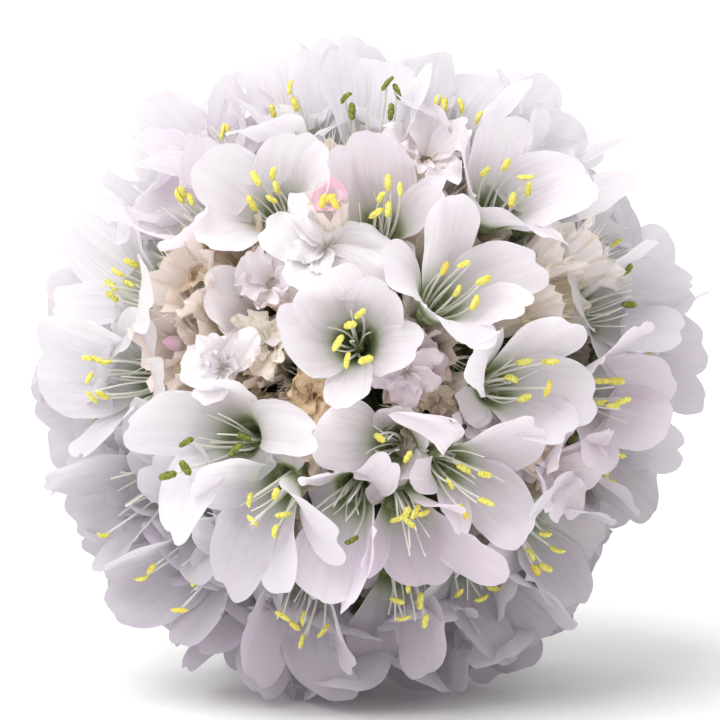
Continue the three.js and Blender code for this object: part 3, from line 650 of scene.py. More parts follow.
def anther(sheets, middle, lie, face, chance, rows=9, cols=12):
    """Two lobes side by side, which lie along a direction."""
    side = unit(np.cross(lie, face))
    face = np.cross(side, lie)
    t, turn = np.linspace(-1, 1, rows), around(cols)
    swell = (np.sqrt(np.maximum(1 - np.abs(t) ** 3, 0.0)) * (1 + 0.1 * np.sin(9 * t + 9 * chance)))[:, None]
    lobes = 1 + 0.25 * np.cos(2 * turn)[None]
    size = ANTHER_HALF_WIDTH * spread(0.85, 1.15)
    x = size * np.cos(turn)[None] * lobes * swell
    y = size * 0.9 * np.sin(turn)[None] * swell
    along = (t * ANTHER_LENGTH * spread(0.8, 1.15) / 2)[:, None] + 0 * turn
    bend = spread(-0.15, 0.05) * (t**2)[:, None]
    points = middle + along[..., None] * lie + x[..., None] * side + (y + bend)[..., None] * face
    sheets.grid(points, t[:, None], turn[None] / tau, chance, 3, closed=True)


def anther_at(floret, x, y):
    """The place in a floret's bowl that shows at a pixel."""
    goal, ray = floret.throat + floret.axis * ANTHER_HEIGHT, pixel_ray(x, y)
    offset = EYE + ray * ((goal - EYE) @ ray) - floret.throat
    height = np.clip(offset @ floret.axis, 1.7, 4.3)
    aside = offset - floret.axis * (offset @ floret.axis)
    aside *= min(1, (0.3 + 0.6 * (height - 0.5)) / max(np.linalg.norm(aside), 1e-6))
    return floret.throat + floret.axis * height + aside


def filament(sheets, floret, foot_side, top, radius, sway):
    foot = floret.throat - floret.axis * 0.55 + foot_side
    t = steps(10)
    path = foot * (1 - t) + top * t + sway * np.sin(t * pi)
    tube(sheets, path, np.linspace(radius, 0.6 * radius, 10), 6, rng.random(), 2)


def stamens(sheets, floret):
    """Five stamens, without anthers where the photograph shows fewer, and five thin styles between them."""
    axis, throat = floret.axis, floret.throat
    spots = ANTHERS.get(floret.short)
    height = LOW_ANTHERS if floret.low else ANTHER_HEIGHT
    for k, petal in enumerate(floret.petals):
        lie = None
        if spots and k < len(spots):
            x, y, angle = spots[k]
            top = anther_at(floret, x, y)
            lie = unit(toward(RIGHT, UP, radians(angle)) + FACE * spread(-0.4, 0.4))
        else:
            out = 0.4 + 0.8 * petal.opening * spread(0.7, 1.3)
            top = throat + axis * (height + spread(-0.4, 0.4)) + petal.along * out
            top = top + petal.across * spread(-0.35, 0.35)
        nearest = max(floret.petals, key=lambda other: other.along @ (top - throat))
        sway = petal.across * spread(-0.15, 0.15) + nearest.along * 0.15
        filament(sheets, floret, nearest.along * 0.3, top, FILAMENT_RADIUS, sway)
        if spots and lie is None:
            continue
        if lie is None:
            lie = unit(petal.across * spread(-1, 1) + petal.along * spread(-1, 1) + axis * spread(-0.2, 0.5))
        chance = spread(0.8, 1.0) if floret.short in GREEN_ANTHERS else 0.6 * rng.random()
        anther(sheets, top + axis * 0.05, lie, unit(axis + 0.3 * petal.along), chance)
    for petal in floret.petals:
        turn = toward(petal.along, petal.across, SECTOR / 2)
        top = throat + axis * spread(0.73, 1.2) * height + turn * spread(0.3, 1.2)
        side = petal.across * spread(-0.3, 0.3) + turn * spread(-0.2, 0.2)
        filament(sheets, floret, turn * 0.1, top, STYLE_RADIUS, side)


def throat_cup(sheets, throat, axis):
    """The corolla's narrow foot and the ovary in it."""
    radii = [FUNNEL_RADIUS * 1.03, 0.68, 0.6, 0.48, 0.32]
    revolve(sheets, throat, axis, radii, [0.12, -0.15, -0.45, -0.75, -0.92], 20, 0.5, 1)
    revolve(sheets, throat, axis, [0.001, 0.2, 0.3, 0.34, 0.3], [-0.3, -0.33, -0.45, -0.65, -0.9], 14, 0.9, 1)


# What the florets stand in.


def calyx_line(top, radius, share):
    """The radius and the height of a calyx's tube at a share of its length."""
    foot = CALYX_FOOT_RADIUS + (radius - CALYX_FOOT_RADIUS) * share**0.8
    return foot, CALYX_FOOT + (top - CALYX_FOOT) * share


def calyx(sheets, direction, top, radius, limb, brown, height=1.25, origin=0):
    """A ribbed tube from the core, and its papery limb, pleated, with a torn rim."""
    cols = 4 * CALYX_RIBS
    turn = around(cols)[None]
    ribs = np.cos(CALYX_RIBS * turn)
    radii, heights = calyx_line(top, radius, np.array([0, 0.25, 0.5, 0.7, 0.85, 1.0])[:, None])
    radii, heights = radii * (1 + 0.07 * ribs), heights + 0 * turn
    u = steps(8)[1:]
    flare = radius + (limb - radius) * u**1.3
    teeth = 0.16 * np.cos(PETALS * turn) + 0.12 * rng.uniform(-1, 1, cols)[None]
    teeth = teeth + 0.12 * np.sin(3 * turn + 6 * rng.random())
    lean = 1 + 0.12 * np.cos(turn + 6 * rng.random())
    flare = flare * (1 + (0.05 + 0.09 * u) * ribs + 0.05 * u * np.sin(4 * turn + 6 * rng.random())) * lean**u
    limb_heights = top + height * u * (1 + teeth * u**2)
    radii, heights = np.concatenate([radii, flare]), np.concatenate([heights, limb_heights])
    revolve(sheets, origin, direction, radii, heights, cols, brown)


def hairs(sheets, direction, top, radius, count, longest=0.8, origin=0, limb=None, height=1.4):
    """Silky hairs up a calyx's ribs, and up its limb's."""
    t = steps(5)
    for _ in range(count):
        turn = tau * (rng.integers(CALYX_RIBS) + spread(-0.12, 0.12)) / CALYX_RIBS
        out = toward(*across_axes(direction), turn)
        side = np.cross(direction, out)
        share = spread(0.45, 1.0)
        wide, high = calyx_line(top, radius, share)
        foot = direction * high + out * wide
        if limb and rng.random() < 0.6:
            u = spread(0, 0.9)
            foot = direction * (top + height * u) + out * (radius + (limb - radius) * u**1.3)
        foot = foot + origin
        lie = unit(direction + out * spread(0.35, 1.0) + side * spread(-0.5, 0.5))
        length = longest * spread(0.5, 1.0)
        path = foot + lie * length * t + out * 0.25 * length * t**2 * spread(-1, 1)
        half = HAIR_HALF_WIDTH * (1 - 0.8 * t)
        points = np.stack([path - side * half, path + side * half], 1)
        sheets.grid(points, t, np.array([[0, 1]]), rng.random())


def scale_leaf(sheets, direction, top, half_width, brown):
    """A chaffy scale that stands on the core."""
    side = toward(*across_axes(direction), spread(0, tau))
    face = np.cross(direction, side)
    t = steps(9)
    v = np.linspace(-1, 1, 7)[None]
    ragged = 1 + 0.15 * rng.uniform(-1, 1, (1, 7))
    width = half_width * (0.55 + 0.45 * np.sin(pi * t**0.8)) * np.sqrt(np.clip(1 - t**5, 0, 1))
    height = CALYX_FOOT + (top - CALYX_FOOT) * t * (1 - (1 - ragged) * t**3)
    bend = spread(-0.6, 0.6) * t**2 + 0.35 * width * v**2 * np.sign(spread(-1, 1))
    bend = bend + 0.08 * t * np.sin(6 * v + 6 * rng.random())
    sway = spread(-0.4, 0.4) * t**2
    points = direction * height[..., None] + side * (v * width + sway)[..., None] + face * bend[..., None]
    sheets.grid(points, t, v, brown)


def small_corolla(sheets, foot, axis, length, opening, tint, **shape):
    """A shrivelled, crumpled or half-open corolla."""
    for along in five_directions(axis, spread(0, SECTOR)):
        values = dict(
            opening=opening + spread(-0.25, 0.3), length=length * spread(0.75, 1.1),
            half_width=0.36 * length + 0.15, ruffle=spread(0.2, 0.4), curl=spread(-0.6, 1.6),
            folded=spread(0, 0.75), twist=spread(-0.5, 0.5), lean=spread(-0.3, 0.3),
            notch=0.25 * rng.random(), flattening=spread(0.5, 3), start=spread(0.7, 1.3),
        )
        values.update(shape)
        petal = make_petal(axis, foot, along, tint, **values)
        keep_in_outline(petal)
        petal_sheet(sheets, petal, 20, 17)


def bud(sheets, foot, axis, size):
    """A closed bud: petals wound round one another."""
    turn, t = around(30)[None], steps(14)
    swell = 0.5 + 0.5 * np.sin(pi * t**0.7)
    winding = 1 + 0.16 * t * (((turn / tau * PETALS + 1.2 * t) % 1) - 0.5)
    radii = size * swell * np.sqrt(np.clip(1 - t**4, 0, 1)) * winding
    revolve(sheets, foot, axis, radii, -0.9 + 3.1 * size * t + 0 * turn, 30, 0.5)


def free_directions(count, axes, gap):
    """Directions spread evenly over the head, apart from those within a gap of a floret's axis."""
    for i in range(count):
        z = 1 - 1.72 * (i + 0.5) / count
        r = sqrt(1 - z * z)
        direction = FACE * z + RIGHT * r * cos(GOLDEN_ANGLE * i) + UP * r * sin(GOLDEN_ANGLE * i)
        direction = unit(direction + 0.05 * rng.standard_normal(3))
        if np.max(axes @ direction) < cos(gap):
            yield direction


def widest_gaps(axes):
    """Directions in the middle of the widest gaps between the florets, one after the other."""
    numbers = np.arange(1500)
    tilts = np.degrees(np.arccos(1 - 2 * (numbers + 0.5) / len(numbers)))
    bearings = np.degrees(GOLDEN_ANGLE * numbers)
    low, high = GAP_TILTS
    spots = np.array([head_direction(t, b) for t, b in zip(tilts, bearings) if low < t < high])
    while True:
        nearest = np.max(spots @ axes.T, 1)
        widest = np.argmin(nearest)
        if nearest[widest] > cos(WIDEST_GAP):
            return
        yield spots[widest]
        axes = np.vstack([axes, spots[widest]])


def core(sheets):
    t, turn = np.linspace(0, pi, 25)[:, None], around(48)[None]
    radius = CORE_RADIUS * (1 + 0.015 * np.sin(9 * t + 3 * turn) * np.sin(7 * turn) * np.sin(t))
    revolve(sheets, 0 * FACE, FACE, radius * np.sin(t), radius * np.cos(t), 48, 0.5)
    heights = -np.array([5.2, 5.8, 6.05, 6.1, 6.1])
    revolve(sheets, 0 * FACE, FACE, [2.6, 2.1, NECK_RADIUS, 1.2, 0.01], heights, 24, 0.5)


# Behind the head.


def bract(sheets, bearing, foot, reach, rise, half_width, level, chance):
    """A papery bract that lies against the back of the head."""
    out = head_direction(90, bearing)
    side = np.cross(out, FACE)
    t, v = steps(18), np.linspace(-1, 1, 15)[None]
    ragged = 1 - 0.03 * rng.random((1, 15)) - 0.02 * np.sin(9 * v + 6 * rng.random())
    half = half_width * (0.35 + 0.65 * np.sin(pi / 2 * np.minimum(t / 0.55, 1)))
    half = half * np.sqrt(np.clip(1 - t**4.5, 0, 1))
    share = t * (1 - (1 - ragged) * t)
    offset = v * half
    height = -level + rise * share**2 + 0.1 * offset**2 + 0.07 * np.sin(5 * t + 3 * v + 6 * rng.random()) * t
    height = height - 0.1 * np.exp(-((v / 0.14) ** 2)) * (1 - t)
    ray = foot + (reach - foot) * share
    points = out * ray[..., None] + side * offset[..., None] + FACE * height[..., None]
    sheets.grid(points, t, v, chance)


def stem_path(count):
    """Straight behind the head, and then down to lie on the surface."""
    start, sheath_end = (-FACE * d for d in (STEM_TOP - 0.15, STEM_TOP + SHEATH_LENGTH + SHEATH_TEETH))
    bend = -FACE * STEM_REACH * STEM_BEND
    end = np.array([STEM_SWAY, STEM_REACH, STEM_END_HEIGHT - HEAD_CENTRE_HEIGHT])
    t = steps(count // 4)[:-1]
    straight = start * (1 - t) + sheath_end * t
    t = steps(count - count // 4)
    return np.concatenate([straight, sheath_end * (1 - t) ** 2 + bend * 2 * t * (1 - t) + end * t**2])


def ribbed_stem(sheets):
    path = stem_path(120)
    turn, t = around(48)[None], steps(len(path))
    swell = 1 + 0.012 * np.sin(31 * t + 1) + 0.01 * np.sin(13 * t)
    radii = STEM_RADIUS * 0.97 * swell * (1 + 0.02 * np.cos(STEM_RIBS * turn + 0.6 * np.sin(9 * t)))
    tube(sheets, path, radii, 48, 0.5)
    end, back = path[-1], unit(path[-1] - path[-2])
    rings = np.array([1.0, 0.93, 0.8, 0.55, 0.42, 0.3, 0.02])
    depths = np.array([0.0, 0.03, 0.02, 0.0, -0.15, -0.3, -0.32])
    revolve(sheets, end, back, rings * STEM_RADIUS * 0.975, depths, 32, 0.5, 1)


def sheath_tube(sheets):
    """The papery sheath that hangs down the stem from the bracts, wrinkled, with a torn edge."""
    sides = 64
    turn, t = around(sides)[None], steps(44)
    torn = 0.75 * np.sin(3 * turn + 1.2) + 0.35 * np.sin(7 * turn + 0.4)
    torn = torn + 0.25 * rng.uniform(-1, 1, sides)[None]
    length = SHEATH_LENGTH + 0.2 + 0.5 * SHEATH_TEETH * (torn - 0.1)
    distance = STEM_TOP + 0.02 + (length - 0.1) * t
    wrinkles = 0.05 * np.sin(11 * turn + 4 * t) + 0.035 * np.sin(23 * turn - 7 * t)
    wrinkles = wrinkles + 0.03 * np.sin(17 * t + 3 * turn)
    radii = 1.3 + 0.42 * np.exp(-((t / 0.16) ** 2)) + 0.1 * t**3 + wrinkles
    radii = np.minimum(radii + 0.14 * np.clip(t - 0.8, 0, 1) * 5 * np.sin(5 * turn) ** 2, SHEATH_RADIUS)
    revolve(sheets, 0 * FACE, -FACE, radii, distance, sides, 0.5)


# Materials.


class Look:
    """A material in the making. Its values have names, which stand for them in its nodes: x and y run along
    and across a sheet, and z is the sheet's chance."""

    def __init__(self, name):
        self.material = bpy.data.materials.new(name)
        self.material.use_nodes = True
        self.tree = self.material.node_tree
        self.tree.nodes.clear()
        self.values = {}
        place = self.node("Attribute", attribute_name="place").outputs["Vector"]
        self.values.update(zip("xyz", self.node("SeparateXYZ", {0: place}).outputs))

    def node(self, kind, inputs=None, **settings):
        made = self.tree.nodes.new("ShaderNode" + kind)
        for key, value in settings.items():
            setattr(made, key, value)
        for key, value in (inputs or {}).items():
            value = self.values[value] if isinstance(value, str) else value
            if isinstance(value, bpy.types.NodeSocket):
                self.tree.links.new(value, made.inputs[key])
            else:
                made.inputs[key].default_value = value
        return made

    def maths(self, operation, a, b=0.0):
        return self.node("Math", {0: a, 1: b}, operation=operation).outputs[0]

    def times(self, a, b):
        return self.maths("MULTIPLY", a, b)

    def plus(self, a, b):
        return self.maths("ADD", a, b)

    def ramp(self, value, low, high, to_low=0.0, to_high=1.0):
        inputs = {"Value": value, "From Min": low, "From Max": high, "To Min": to_low, "To Max": to_high}
        return self.node("MapRange", inputs, interpolation_type="SMOOTHSTEP").outputs[0]

    def noise(self, vector, scale, detail):
        inputs = {"Vector": vector, "Scale": scale, "Detail": detail, "Roughness": 0.6}
        return self.node("TexNoise", inputs).outputs[0]

    def streaks(self, across, along, detail=4):
        """Noise drawn out along a sheet, another on each sheet."""
        parts = {0: self.times("y", across), 1: self.times("x", along), 2: self.times("z", 37.0)}
        return self.noise(self.node("CombineXYZ", parts).outputs[0], 1.0, detail)

    def grain(self, scale, detail=5):
        return self.noise(self.node("TexCoord").outputs["Object"], scale, detail)

    def mix(self, factor, a, b, blend="MIX"):
        inputs = {0: factor, 6: self.colour(a), 7: self.colour(b)}
        return self.node("Mix", inputs, data_type="RGBA", blend_type=blend).outputs[2]

    def colour(self, c):
        return self.paint(*c) if isinstance(c, list) else (*c, 1) if isinstance(c, tuple) else c

    def paint(self, colour, *layers):
        """Lays colours over one another. A layer is a value, the bounds between which it grows, how strong it
        is at most, and its colour, or a list of a colour and its layers."""
        for value, *bounds, over in layers:
            factor = self.ramp(value, *bounds[:2], 0.0, *bounds[2:]) if bounds else value
            colour = self.mix(factor, colour, over)
        return colour

    def from_centre(self, operation, *other):
        """A point's distance from the head's centre, or how far it is from there in a direction."""
        inputs = {0: self.node("TexCoord").outputs["Object"], 1: tuple(CENTRE * MM)}
        offset = self.node("VectorMath", inputs, operation="SUBTRACT").outputs[0]
        inputs = dict(enumerate((offset, *other)))
        return self.node("VectorMath", inputs, operation=operation).outputs["Value"]

    def finish(self, colour, height, roughness, through=0.0, strength=0.4, distance=0.00004, sheen=0.0):
        """Ends the material, with the light that comes through, and its bumps' strength and depth."""
        bump = self.node("Bump", {"Height": height, "Strength": strength, "Distance": distance}).outputs[0]
        surface = self.node("BsdfPrincipled", {
            "Base Color": colour, "Roughness": roughness, "Specular IOR Level": 0.3, "Sheen Weight": sheen,
            "Normal": bump,
        }).outputs[0]
        if through:
            behind = self.node("BsdfTranslucent", {"Color": colour, "Normal": bump}).outputs[0]
            surface = self.node("MixShader", {0: through, 1: surface, 2: behind}).outputs[0]
        self.node("OutputMaterial", {"Surface": surface})
        return self.material


def petal_look(name, fresh=True):
    look = Look(name)
    look.values["side"] = look.maths("ABSOLUTE", "y")
    broad, veins, fine = look.streaks(2.2, 1.3, 2), look.streaks(16.0, 0.8, 3), look.streaks(48.0, 2.2, 2)
    vein = look.times(look.ramp(veins, 0.36, 0.52, 1.0, 0.0), look.ramp("x", 0.98, 0.4, 0.25, 1.0))
    blotch = look.times(look.ramp(broad, 0.35, 0.68), look.ramp("x", 0.3, 0.75))
    pinkness = look.plus(look.times("z", 0.55), look.times(blotch, 0.16))
    # The lighter edge along each side of a petal is a painted highlight, the light a thin rim catches.
    colour = look.paint(
        (0.935, 0.935, 0.95), (pinkness, (0.92, 0.76, 0.88)), (look.times(vein, 0.3), (0.78, 0.73, 0.81)),
        ("side", 0.8, 1.0, 0.5, (0.97, 0.96, 0.98)),
    )
    # Painted shade: the petals grow greyer towards the back, the foot and the right of the head.
    for direction, low, high, grey in PAINTED_SHADES:
        depth = look.from_centre("DOT_PRODUCT", direction)
        colour = look.mix(look.ramp(depth, low, high), colour, grey, "MULTIPLY")
    if fresh:
        layers = [("x", 0.4, 0.1, 0.85, (0.75, 0.81, 0.66)), ("x", 0.23, 0.03, 0.94, (0.23, 0.30, 0.11))]
    else:
        creases = look.streaks(6.0, 3.0, 5)
        layers = [
            (0.35, (0.98, 0.92, 0.94)), (creases, 0.5, 0.7, 0.35, (0.90, 0.78, 0.72)),
            ("x", 0.3, 0.0, 0.5, (0.86, 0.80, 0.70)),
        ]
    height = look.plus(look.times(vein, -1.0), look.times(fine, 0.7))
    return look.finish(look.paint(colour, *layers), height, 0.42, 0.55 if fresh else 0.35, 0.5, sheen=0.1)


def make_look(name, colour, height, *gloss, lines=None, grain=None, ribs=0, margin=False, shade_near_core=False):
    """A material from its layers of colour, its bumps' height as shares of its values, and what finish takes.
    One shaded near the core turns dark green there: the green foot, with painted shade of the recess."""
    look = Look(name)
    if lines:
        look.values["lines"] = look.streaks(*lines)
    if grain:
        look.values["grain"] = look.grain(*grain)
    if ribs:
        look.values["ribs"] = look.maths("COSINE", look.times("y", tau * ribs))
    if margin:
        side = look.ramp(look.maths("ABSOLUTE", "y"), 0.45, 0.95)
        look.values["margin"] = look.maths("MAXIMUM", side, look.ramp("x", 0.72, 0.98))
    colour = look.paint(*colour)
    # Painted shade near the core, dark green: partly the calyces' green foot, partly the shade of the recess.
    if shade_near_core:
        colour = look.paint(colour, (look.from_centre("LENGTH"), *GREEN_FOOT_AND_PAINTED_SHADE))
    bumps = 0.0
    for value, share in height.items():
        bumps = look.plus(bumps, look.times(value, share))
    return look.finish(colour, bumps, *gloss)


PETAL_LOOK, CRUMPLED_LOOK = petal_look("petal_white"), petal_look("petal_crumpled", fresh=False)
THROAT_LOOK = make_look(
    "throat_green", [
        [(0.42, 0.48, 0.28), ("x", 0.0, 0.6, (0.17, 0.22, 0.10))],
        ("z", 0.6, 0.8, [(0.40, 0.47, 0.24), ("x", 0.0, 0.5, (0.18, 0.23, 0.10))]),
        ("grain", 0.45, 0.62, 0.7, (0.05, 0.07, 0.02)),
    ], {"grain": 1}, 0.5, 0.15, grain=(5200.0, 3),
)
FILAMENT_LOOK = make_look(
    "filament_white", [(0.93, 0.92, 0.86), ("x", 0.35, 0.0, (0.62, 0.68, 0.42))], {"grain": 1}, 0.4, 0.3,
    grain=(9000.0,),
)
ANTHER_LOOK = make_look(
    "anther_yellow", [
        (0.62, 0.53, 0.03), ("grain", 0.3, 0.6, (0.88, 0.84, 0.22)),
        ("z", 0.5, 0.6, 0.55, (0.80, 0.55, 0.08)),
        ("z", 0.7, 0.8, [(0.10, 0.13, 0.02), ("grain", 0.35, 0.65, (0.30, 0.33, 0.06))]),
    ], {"grain": 1}, 0.75, 0.1, 0.8, 0.00006, grain=(9500.0, 4),
)
CALYX_LOOK = make_look(
    "calyx_paper", [
        [
            (0.95, 0.86, 0.76), ("ribs", -0.4, 0.8, (0.70, 0.66, 0.42)),
            ("grain", 0.45, 0.6, 0.5, (0.95, 0.86, 0.82)),
        ],
        ("x", 0.36, 0.5, [
            (0.98, 0.94, 0.93), ("z", 0.0, 0.8, (0.90, 0.72, 0.56)),
            ("ribs", 0.7, 1.0, 0.5, (0.84, 0.66, 0.56)), ("grain", 0.4, 0.65, 0.5, (0.97, 0.93, 0.89)),
            ("z", 0.8, 0.95, 0.8, (0.52, 0.50, 0.30)),
        ]),
    ], {"grain": 1, "ribs": 0.3}, 0.75, 0.35, 0.6, 0.00005, grain=(2600.0,), ribs=CALYX_RIBS, shade_near_core=True,
)
SCALE_LOOK = make_look(
    "chaff", [
        (0.46, 0.47, 0.20), ("z", 0.0, 0.3, [(0.97, 0.88, 0.70), ("z", 0.3, 1.0, (0.86, 0.58, 0.26))]),
        ("lines", 0.4, 0.6, 0.4, (0.92, 0.84, 0.68)),
    ], {"lines": 1, "grain": 1}, 0.8, 0.3, 0.6, 0.00006, lines=(7.0, 1.5), grain=(3000.0,), shade_near_core=True,
)
HAIR_LOOK = make_look(
    "calyx_hair", [(0.98, 0.97, 0.94), ("z", (0.93, 0.86, 0.72))], {"grain": 1}, 0.35, 0.4, grain=(9000.0,),
    shade_near_core=True,
)
SPENT_LOOK = make_look(
    "corolla_spent", [
        (0.95, 0.90, 0.82), ("z", 0.2, 0.6, (0.88, 0.70, 0.46)), ("z", 0.6, 1.0, (0.74, 0.44, 0.18)),
        ("lines", 0.38, 0.6, 0.45, (0.95, 0.87, 0.70)),
        ("grain", 0.52, 0.68, 0.7, [(0.80, 0.68, 0.50), ("z", (0.42, 0.24, 0.09))]),
    ], {"lines": 1, "grain": 1}, 0.7, 0.3, 0.7, 0.00008, lines=(9.0, 2.0, 5), grain=(2400.0,),
)
BUD_LOOK = make_look(
    "bud_pink", [
        (0.95, 0.86, 0.88), ("x", 0.25, 0.95, (0.96, 0.56, 0.73)),
        ("lines", 0.4, 0.6, 0.35, (0.94, 0.74, 0.84)),
    ], {"lines": 1}, 0.5, 0.25, lines=(30.0, 1.0, 3),
)
CORE_LOOK = make_look(
    "core_olive", [(0.03, 0.035, 0.012), ("grain", 0.35, 0.65, (0.17, 0.16, 0.06))],
    {"grain": 1}, 0.85, 0.0, 0.8, 0.0003, grain=(1500.0,),
)
BRACT_LOOK = make_look(
    "bract_paper", [
        (0.22, 0.20, 0.08), ("x", 0.0, 0.7, (0.42, 0.28, 0.13)), ("margin", (0.74, 0.60, 0.42)),
        ("lines", 0.42, 0.62, 0.45, (0.70, 0.55, 0.36)), ("grain", 0.5, 0.7, 0.5, (0.24, 0.13, 0.06)),
    ], {"lines": 1.5, "grain": 1}, 0.65, 0.25, 0.7, 0.00008, lines=(10.0, 1.2, 5), grain=(1800.0,),
    margin=True,
)
SHEATH_LOOK = make_look(
    "sheath_paper", [
        (0.30, 0.17, 0.08), ("lines", 0.38, 0.6, (0.62, 0.44, 0.25)),
        ("grain", 0.5, 0.72, 0.6, (0.74, 0.60, 0.42)), ("x", 0.8, 1.0, 0.6, (0.78, 0.66, 0.50)),
    ], {"lines": 1, "grain": 0.6}, 0.7, 0.3, 0.8, 0.0001, lines=(70.0, 1.5), grain=(1300.0,),
)
STEM_LOOK = make_look(
    "stem_green", [
        (0.25, 0.34, 0.12), ("x", 0.1, 0.9, (0.33, 0.44, 0.17)), ("ribs", 0.0, 1.0, 0.4, (0.50, 0.58, 0.32)),
        ("lines", 0.42, 0.66, 0.4, (0.16, 0.24, 0.07)), ("grain", 0.5, 0.75, 0.45, (0.52, 0.50, 0.36)),
    ], {"lines": 1, "ribs": 1}, 0.55, 0.0, 0.5, 0.00005, lines=(60.0, 14.0), grain=(420.0,), ribs=STEM_RIBS,
)
CUT_LOOK = make_look(
    "stem_cut", [
        (0.42, 0.55, 0.24), ("x", 0.1, 0.55, (0.80, 0.84, 0.62)), ("x", 0.6, 1.0, (0.42, 0.42, 0.24)),
        ("grain", 0.5, 0.7, 0.5, (0.62, 0.60, 0.40)),
    ], {"grain": 1}, 0.7, 0.0, 0.6, 0.00008, grain=(3800.0,),
)

# The head.

calyces, silk, chaff, middle, spent, crumpled, small, buds = (Sheets() for _ in range(8))


def dress_floret(floret):
    sheets = Sheets()
    for petal in floret.petals:
        petal_sheet(sheets, petal)
    if not floret.faded:
        throat_cup(sheets, floret.throat, floret.axis)
        stamens(sheets, floret)
    looks = [CRUMPLED_LOOK if floret.faded else PETAL_LOOK, THROAT_LOOK, FILAMENT_LOOK, ANTHER_LOOK]
    piece = sheets.build(f"corolla_{floret.short}", looks, "faded_petal" if floret.faded else "petal")
    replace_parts(piece, floret.name)


def on_calyx(x, y, radius, below, *sizes):
    """The place that shows at a pixel, and its direction from the head's centre, on a calyx of its own."""
    place = at_pixel(x, y, radius)
    calyx(calyces, unit(place), radius - below, *sizes)
    return place, unit(place)


def grow_calyces():
    for floret in florets:
        distance = np.linalg.norm(floret.throat)
        origin, top = floret.throat - floret.axis * distance, distance - THROAT_DEPTH
        radius, limb = (0.82, spread(1.05, 1.2)) if floret.short in THROATS else (0.92, spread(1.3, 1.6))
        calyx(calyces, floret.axis, top, radius, limb, spread(0.1, 0.6), spread(0.9, 1.15), origin)
        hairs(silk, floret.axis, top, radius, 26, origin=origin)
    for tilt, bearing, top, limb in BARE_CALYCES:
        direction = head_direction(tilt, bearing)
        calyx(calyces, direction, top - RIM, BARE_RADIUS, limb, 0.9, spread(1.3, 1.7))
        hairs(silk, direction, top - RIM, BARE_RADIUS, 200, 1.2, limb=limb)
    for x, y, top, limb, lean, brown in SEEN_CALYCES:
        place = at_pixel(x, y, top)
        axis = unit(unit(place) + lean * FACE)
        origin, radius = place - axis * top, max(BARE_RADIUS, 0.64 * limb)
        calyx(calyces, axis, top - RIM, radius, limb, brown, 1.5, origin)
        hairs(silk, axis, top - RIM, radius, 320, 1.4, origin, limb)


def grow_scales():
    dark = np.array([unit(at_pixel(x, y, 9.0)) for x, y in DARK_SPOTS])
    for direction in free_directions(SCALES, axes, SCALE_GAP):
        if np.max(dark @ direction) < cos(DARK_REACH):
            scale_leaf(chaff, direction, spread(7.8, 10.2), spread(0.4, 0.9), rng.random())


def grow_shrivelled_corollas():
    for x, y, radius, length, opening, brown in SPENT:
        place, direction = on_calyx(x, y, radius, 0.9, 0.6, 0.72, brown)
        small_corolla(spent, place, direction, length, opening, brown, funnel=0.2)
    for x, y, radius, length, opening, tint in CRUMPLED:
        place, direction = on_calyx(x, y, radius, 1.0, 0.8, 0.95, 0.5)
        small_corolla(crumpled, place, direction, length, opening, tint, funnel=0.3)


def grow_placed_corollas():
    for x, y, radius, length, tint, tips in PLACED:
        place = at_pixel(x, y, radius)
        axis = unit(unit(place) + FACE)
        petals = [
            make_petal(axis, place, along, tint, length=length, opening=0.8, half_width=0.4 * length,
                       ruffle=0.22, curl=spread(0, 0.8), funnel=0.05, start=1.25)
            for along in five_directions(axis)
        ]
        fit_to_tips(petals, tips)
        for petal in petals:
            if not petal.matched:
                hide(petal, length)
            petal_sheet(crumpled, petal)
        for petal in petals[:FOLDS]:
            fold = turned(petal, FOLD_TURN)
            fold.throat = place + axis * 0.2
            fold.length, fold.half_width = 0.6 * petal.length, 0.5 * petal.half_width
            fold.opening = petal.opening - 0.12
            petal_sheet(crumpled, fold)
        on_calyx(x, y, radius, 1.5, 0.9, 1.3, 0.5)


def grow_rosette():
    place, direction = on_calyx(*ROSETTE, 1.0, 0.7, 0.9, 0.3)
    axis = unit(direction + FACE)
    small_corolla(buds, place, axis, ROSETTE_LENGTH, 0.45, 0.6, half_width=0.52, folded=0.0, curl=-0.4,
                  funnel=0.3, notch=0.0, start=START_ANGLE, ruffle=0.05, twist=0.1)
    for x, y, angle in ROSETTE_ANTHERS:
        top = at_plane(x, y, place + axis * 0.9, axis)
        anther(buds, top, toward(RIGHT, UP, radians(angle)), axis, 0.58)


def fill_gaps():
    seen = [unit(at_pixel(x, y, top)) for x, y, top, *_ in SEEN_CALYCES]
    for direction in widest_gaps(np.vstack([axes, seen])):
        calyx(calyces, direction, 9.4, 0.9, 1.35, 0.4)
        if min(dist(to_pixel(direction * 12.5), spot) for spot in FULL_SPOTS) < SPOT_PIXELS:
            small_corolla(spent, direction * 10.2, direction, 1.7, 0.3, 0.4, funnel=0.2)
        else:
            shape = dict(curl=spread(0, 0.4), folded=spread(0, 0.3), ruffle=0.15, start=START_ANGLE)
            small_corolla(small, direction * 10.5, direction, spread(3.8, 4.5), 0.42, 0.2, **shape)


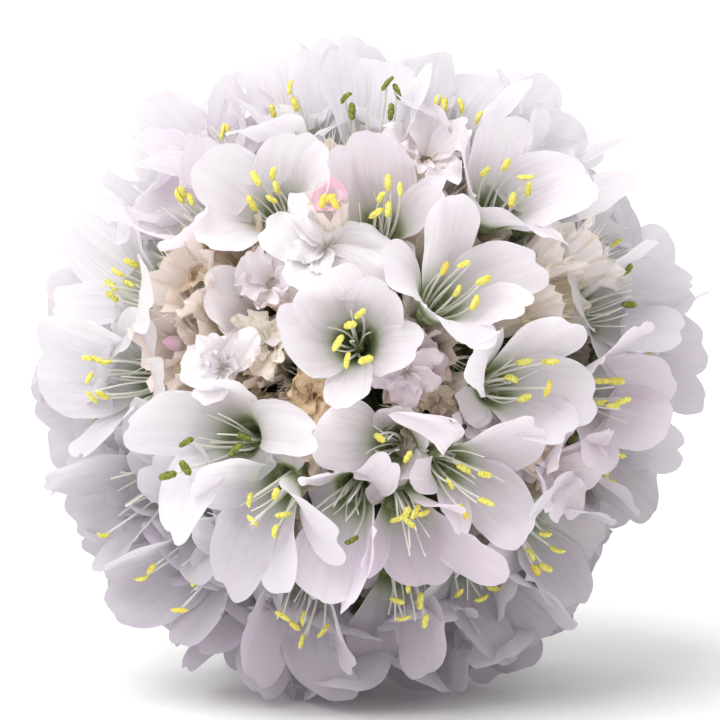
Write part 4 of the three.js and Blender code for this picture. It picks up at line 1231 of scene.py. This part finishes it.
florets = []
for number, name in enumerate(sorted(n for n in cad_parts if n.startswith("floret_"))):
    reseed(number)
    florets.append(make_floret(name))
axes = np.array([unit(floret.throat) for floret in florets])
for number, floret in enumerate(florets):
    reseed(100 + number)
    dress_floret(floret)
core(middle)
grown = grow_calyces, grow_scales, grow_shrivelled_corollas, grow_placed_corollas, grow_rosette, fill_gaps
for number, grow in enumerate(grown):
    reseed(200 + number)
    grow()
for *spot, size in BUDS:
    place, direction = on_calyx(*spot, 1.2, 0.85, 1.15, 0.2)
    bud(buds, place, direction, size)
piece = calyces.build("calyces", [CALYX_LOOK], "calyx")
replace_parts(piece, "receptacle")
middle.build("core", [CORE_LOOK], "calyx")
silk.build("calyx_hairs", [HAIR_LOOK], "calyx")
chaff.build("chaff", [SCALE_LOOK], "bract")
spent.build("corollas_spent", [SPENT_LOOK], "faded_petal")
crumpled.build("corollas_crumpled", [CRUMPLED_LOOK], "faded_petal")
small.build("corollas_small", [PETAL_LOOK], "petal")
buds.build("buds", [BUD_LOOK, BUD_LOOK, FILAMENT_LOOK, ANTHER_LOOK], "faded_petal")

# Bracts, sheath and stem.

involucre, papery, stalk = Sheets(), Sheets(), Sheets()
for count, first, reach, rise, half_width, level in BRACT_RINGS:
    for k in range(count):
        bearing = first + 360 / count * (k + spread(-0.12, 0.12))
        bract(involucre, bearing, 1.2, reach * spread(0.92, 1.0), rise, half_width, level, rng.random())
revolve(involucre, 0 * FACE, -FACE, [0.5, 1.9, 2.3, 2.1, 1.6, 1.2], [6.15, 6.2, 6.5, 6.8, 7.05, 7.2], 30, 0.5)
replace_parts(involucre.build("bracts", [BRACT_LOOK], "bract"), "involucre")
sheath_tube(papery)
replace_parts(papery.build("sheath_papery", [SHEATH_LOOK], "sheath"), "sheath")
ribbed_stem(stalk)
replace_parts(stalk.build("stem_ribbed", [STEM_LOOK, CUT_LOOK], "stem"), "scape")

# Stage.


def aim(made, direction):
    made.rotation_mode = "QUATERNION"
    made.rotation_quaternion = Vector(direction).to_track_quat("-Z", "Y")


mesh = bpy.data.meshes.new("floor")
corners = [(-1, -1), (1, -1), (1, 1), (-1, 1)]
mesh.from_pydata([(FLOOR_HALF * x, FLOOR_HALF * y, 0) for x, y in corners], [], [(0, 1, 2, 3)])
look = Look("floor_pale")
colour = look.mix(look.grain(60.0), (0.93, 0.93, 0.93), (0.945, 0.945, 0.945))
mesh.materials.append(look.finish(colour, look.grain(800.0), 0.9, 0.0, 0.02))
add_object("floor", mesh)

data = bpy.data.lights.new("soft_light", "SUN")
data.energy, data.angle = SUN_POWER, SUN_SOFTNESS
aim(add_object("soft_light", data), SUN_DIRECTION)
world = bpy.data.worlds.new("world")
world.use_nodes = True
world.node_tree.nodes["Background"].inputs["Color"].default_value = (1, 1, 1, 1)
world.node_tree.nodes["Background"].inputs["Strength"].default_value = WORLD_POWER
bpy.context.scene.world = world
bpy.context.scene.view_settings.view_transform = "Standard"

data = bpy.data.cameras.new("camera")
data.sensor_width = SENSOR
data.lens = FOCAL / PICTURE * SENSOR
data.shift_x = (PICTURE / 2 - HEAD_PIXEL[0]) / PICTURE
data.shift_y = (HEAD_PIXEL[1] - PICTURE / 2) / PICTURE
data.clip_start, data.clip_end = 0.01, 20
camera = add_object("camera", data)
camera.location = Vector((CENTRE * MM).tolist()) + Vector((EYE * MM).tolist())
aim(camera, (-FACE).tolist())
bpy.context.scene.camera = camera
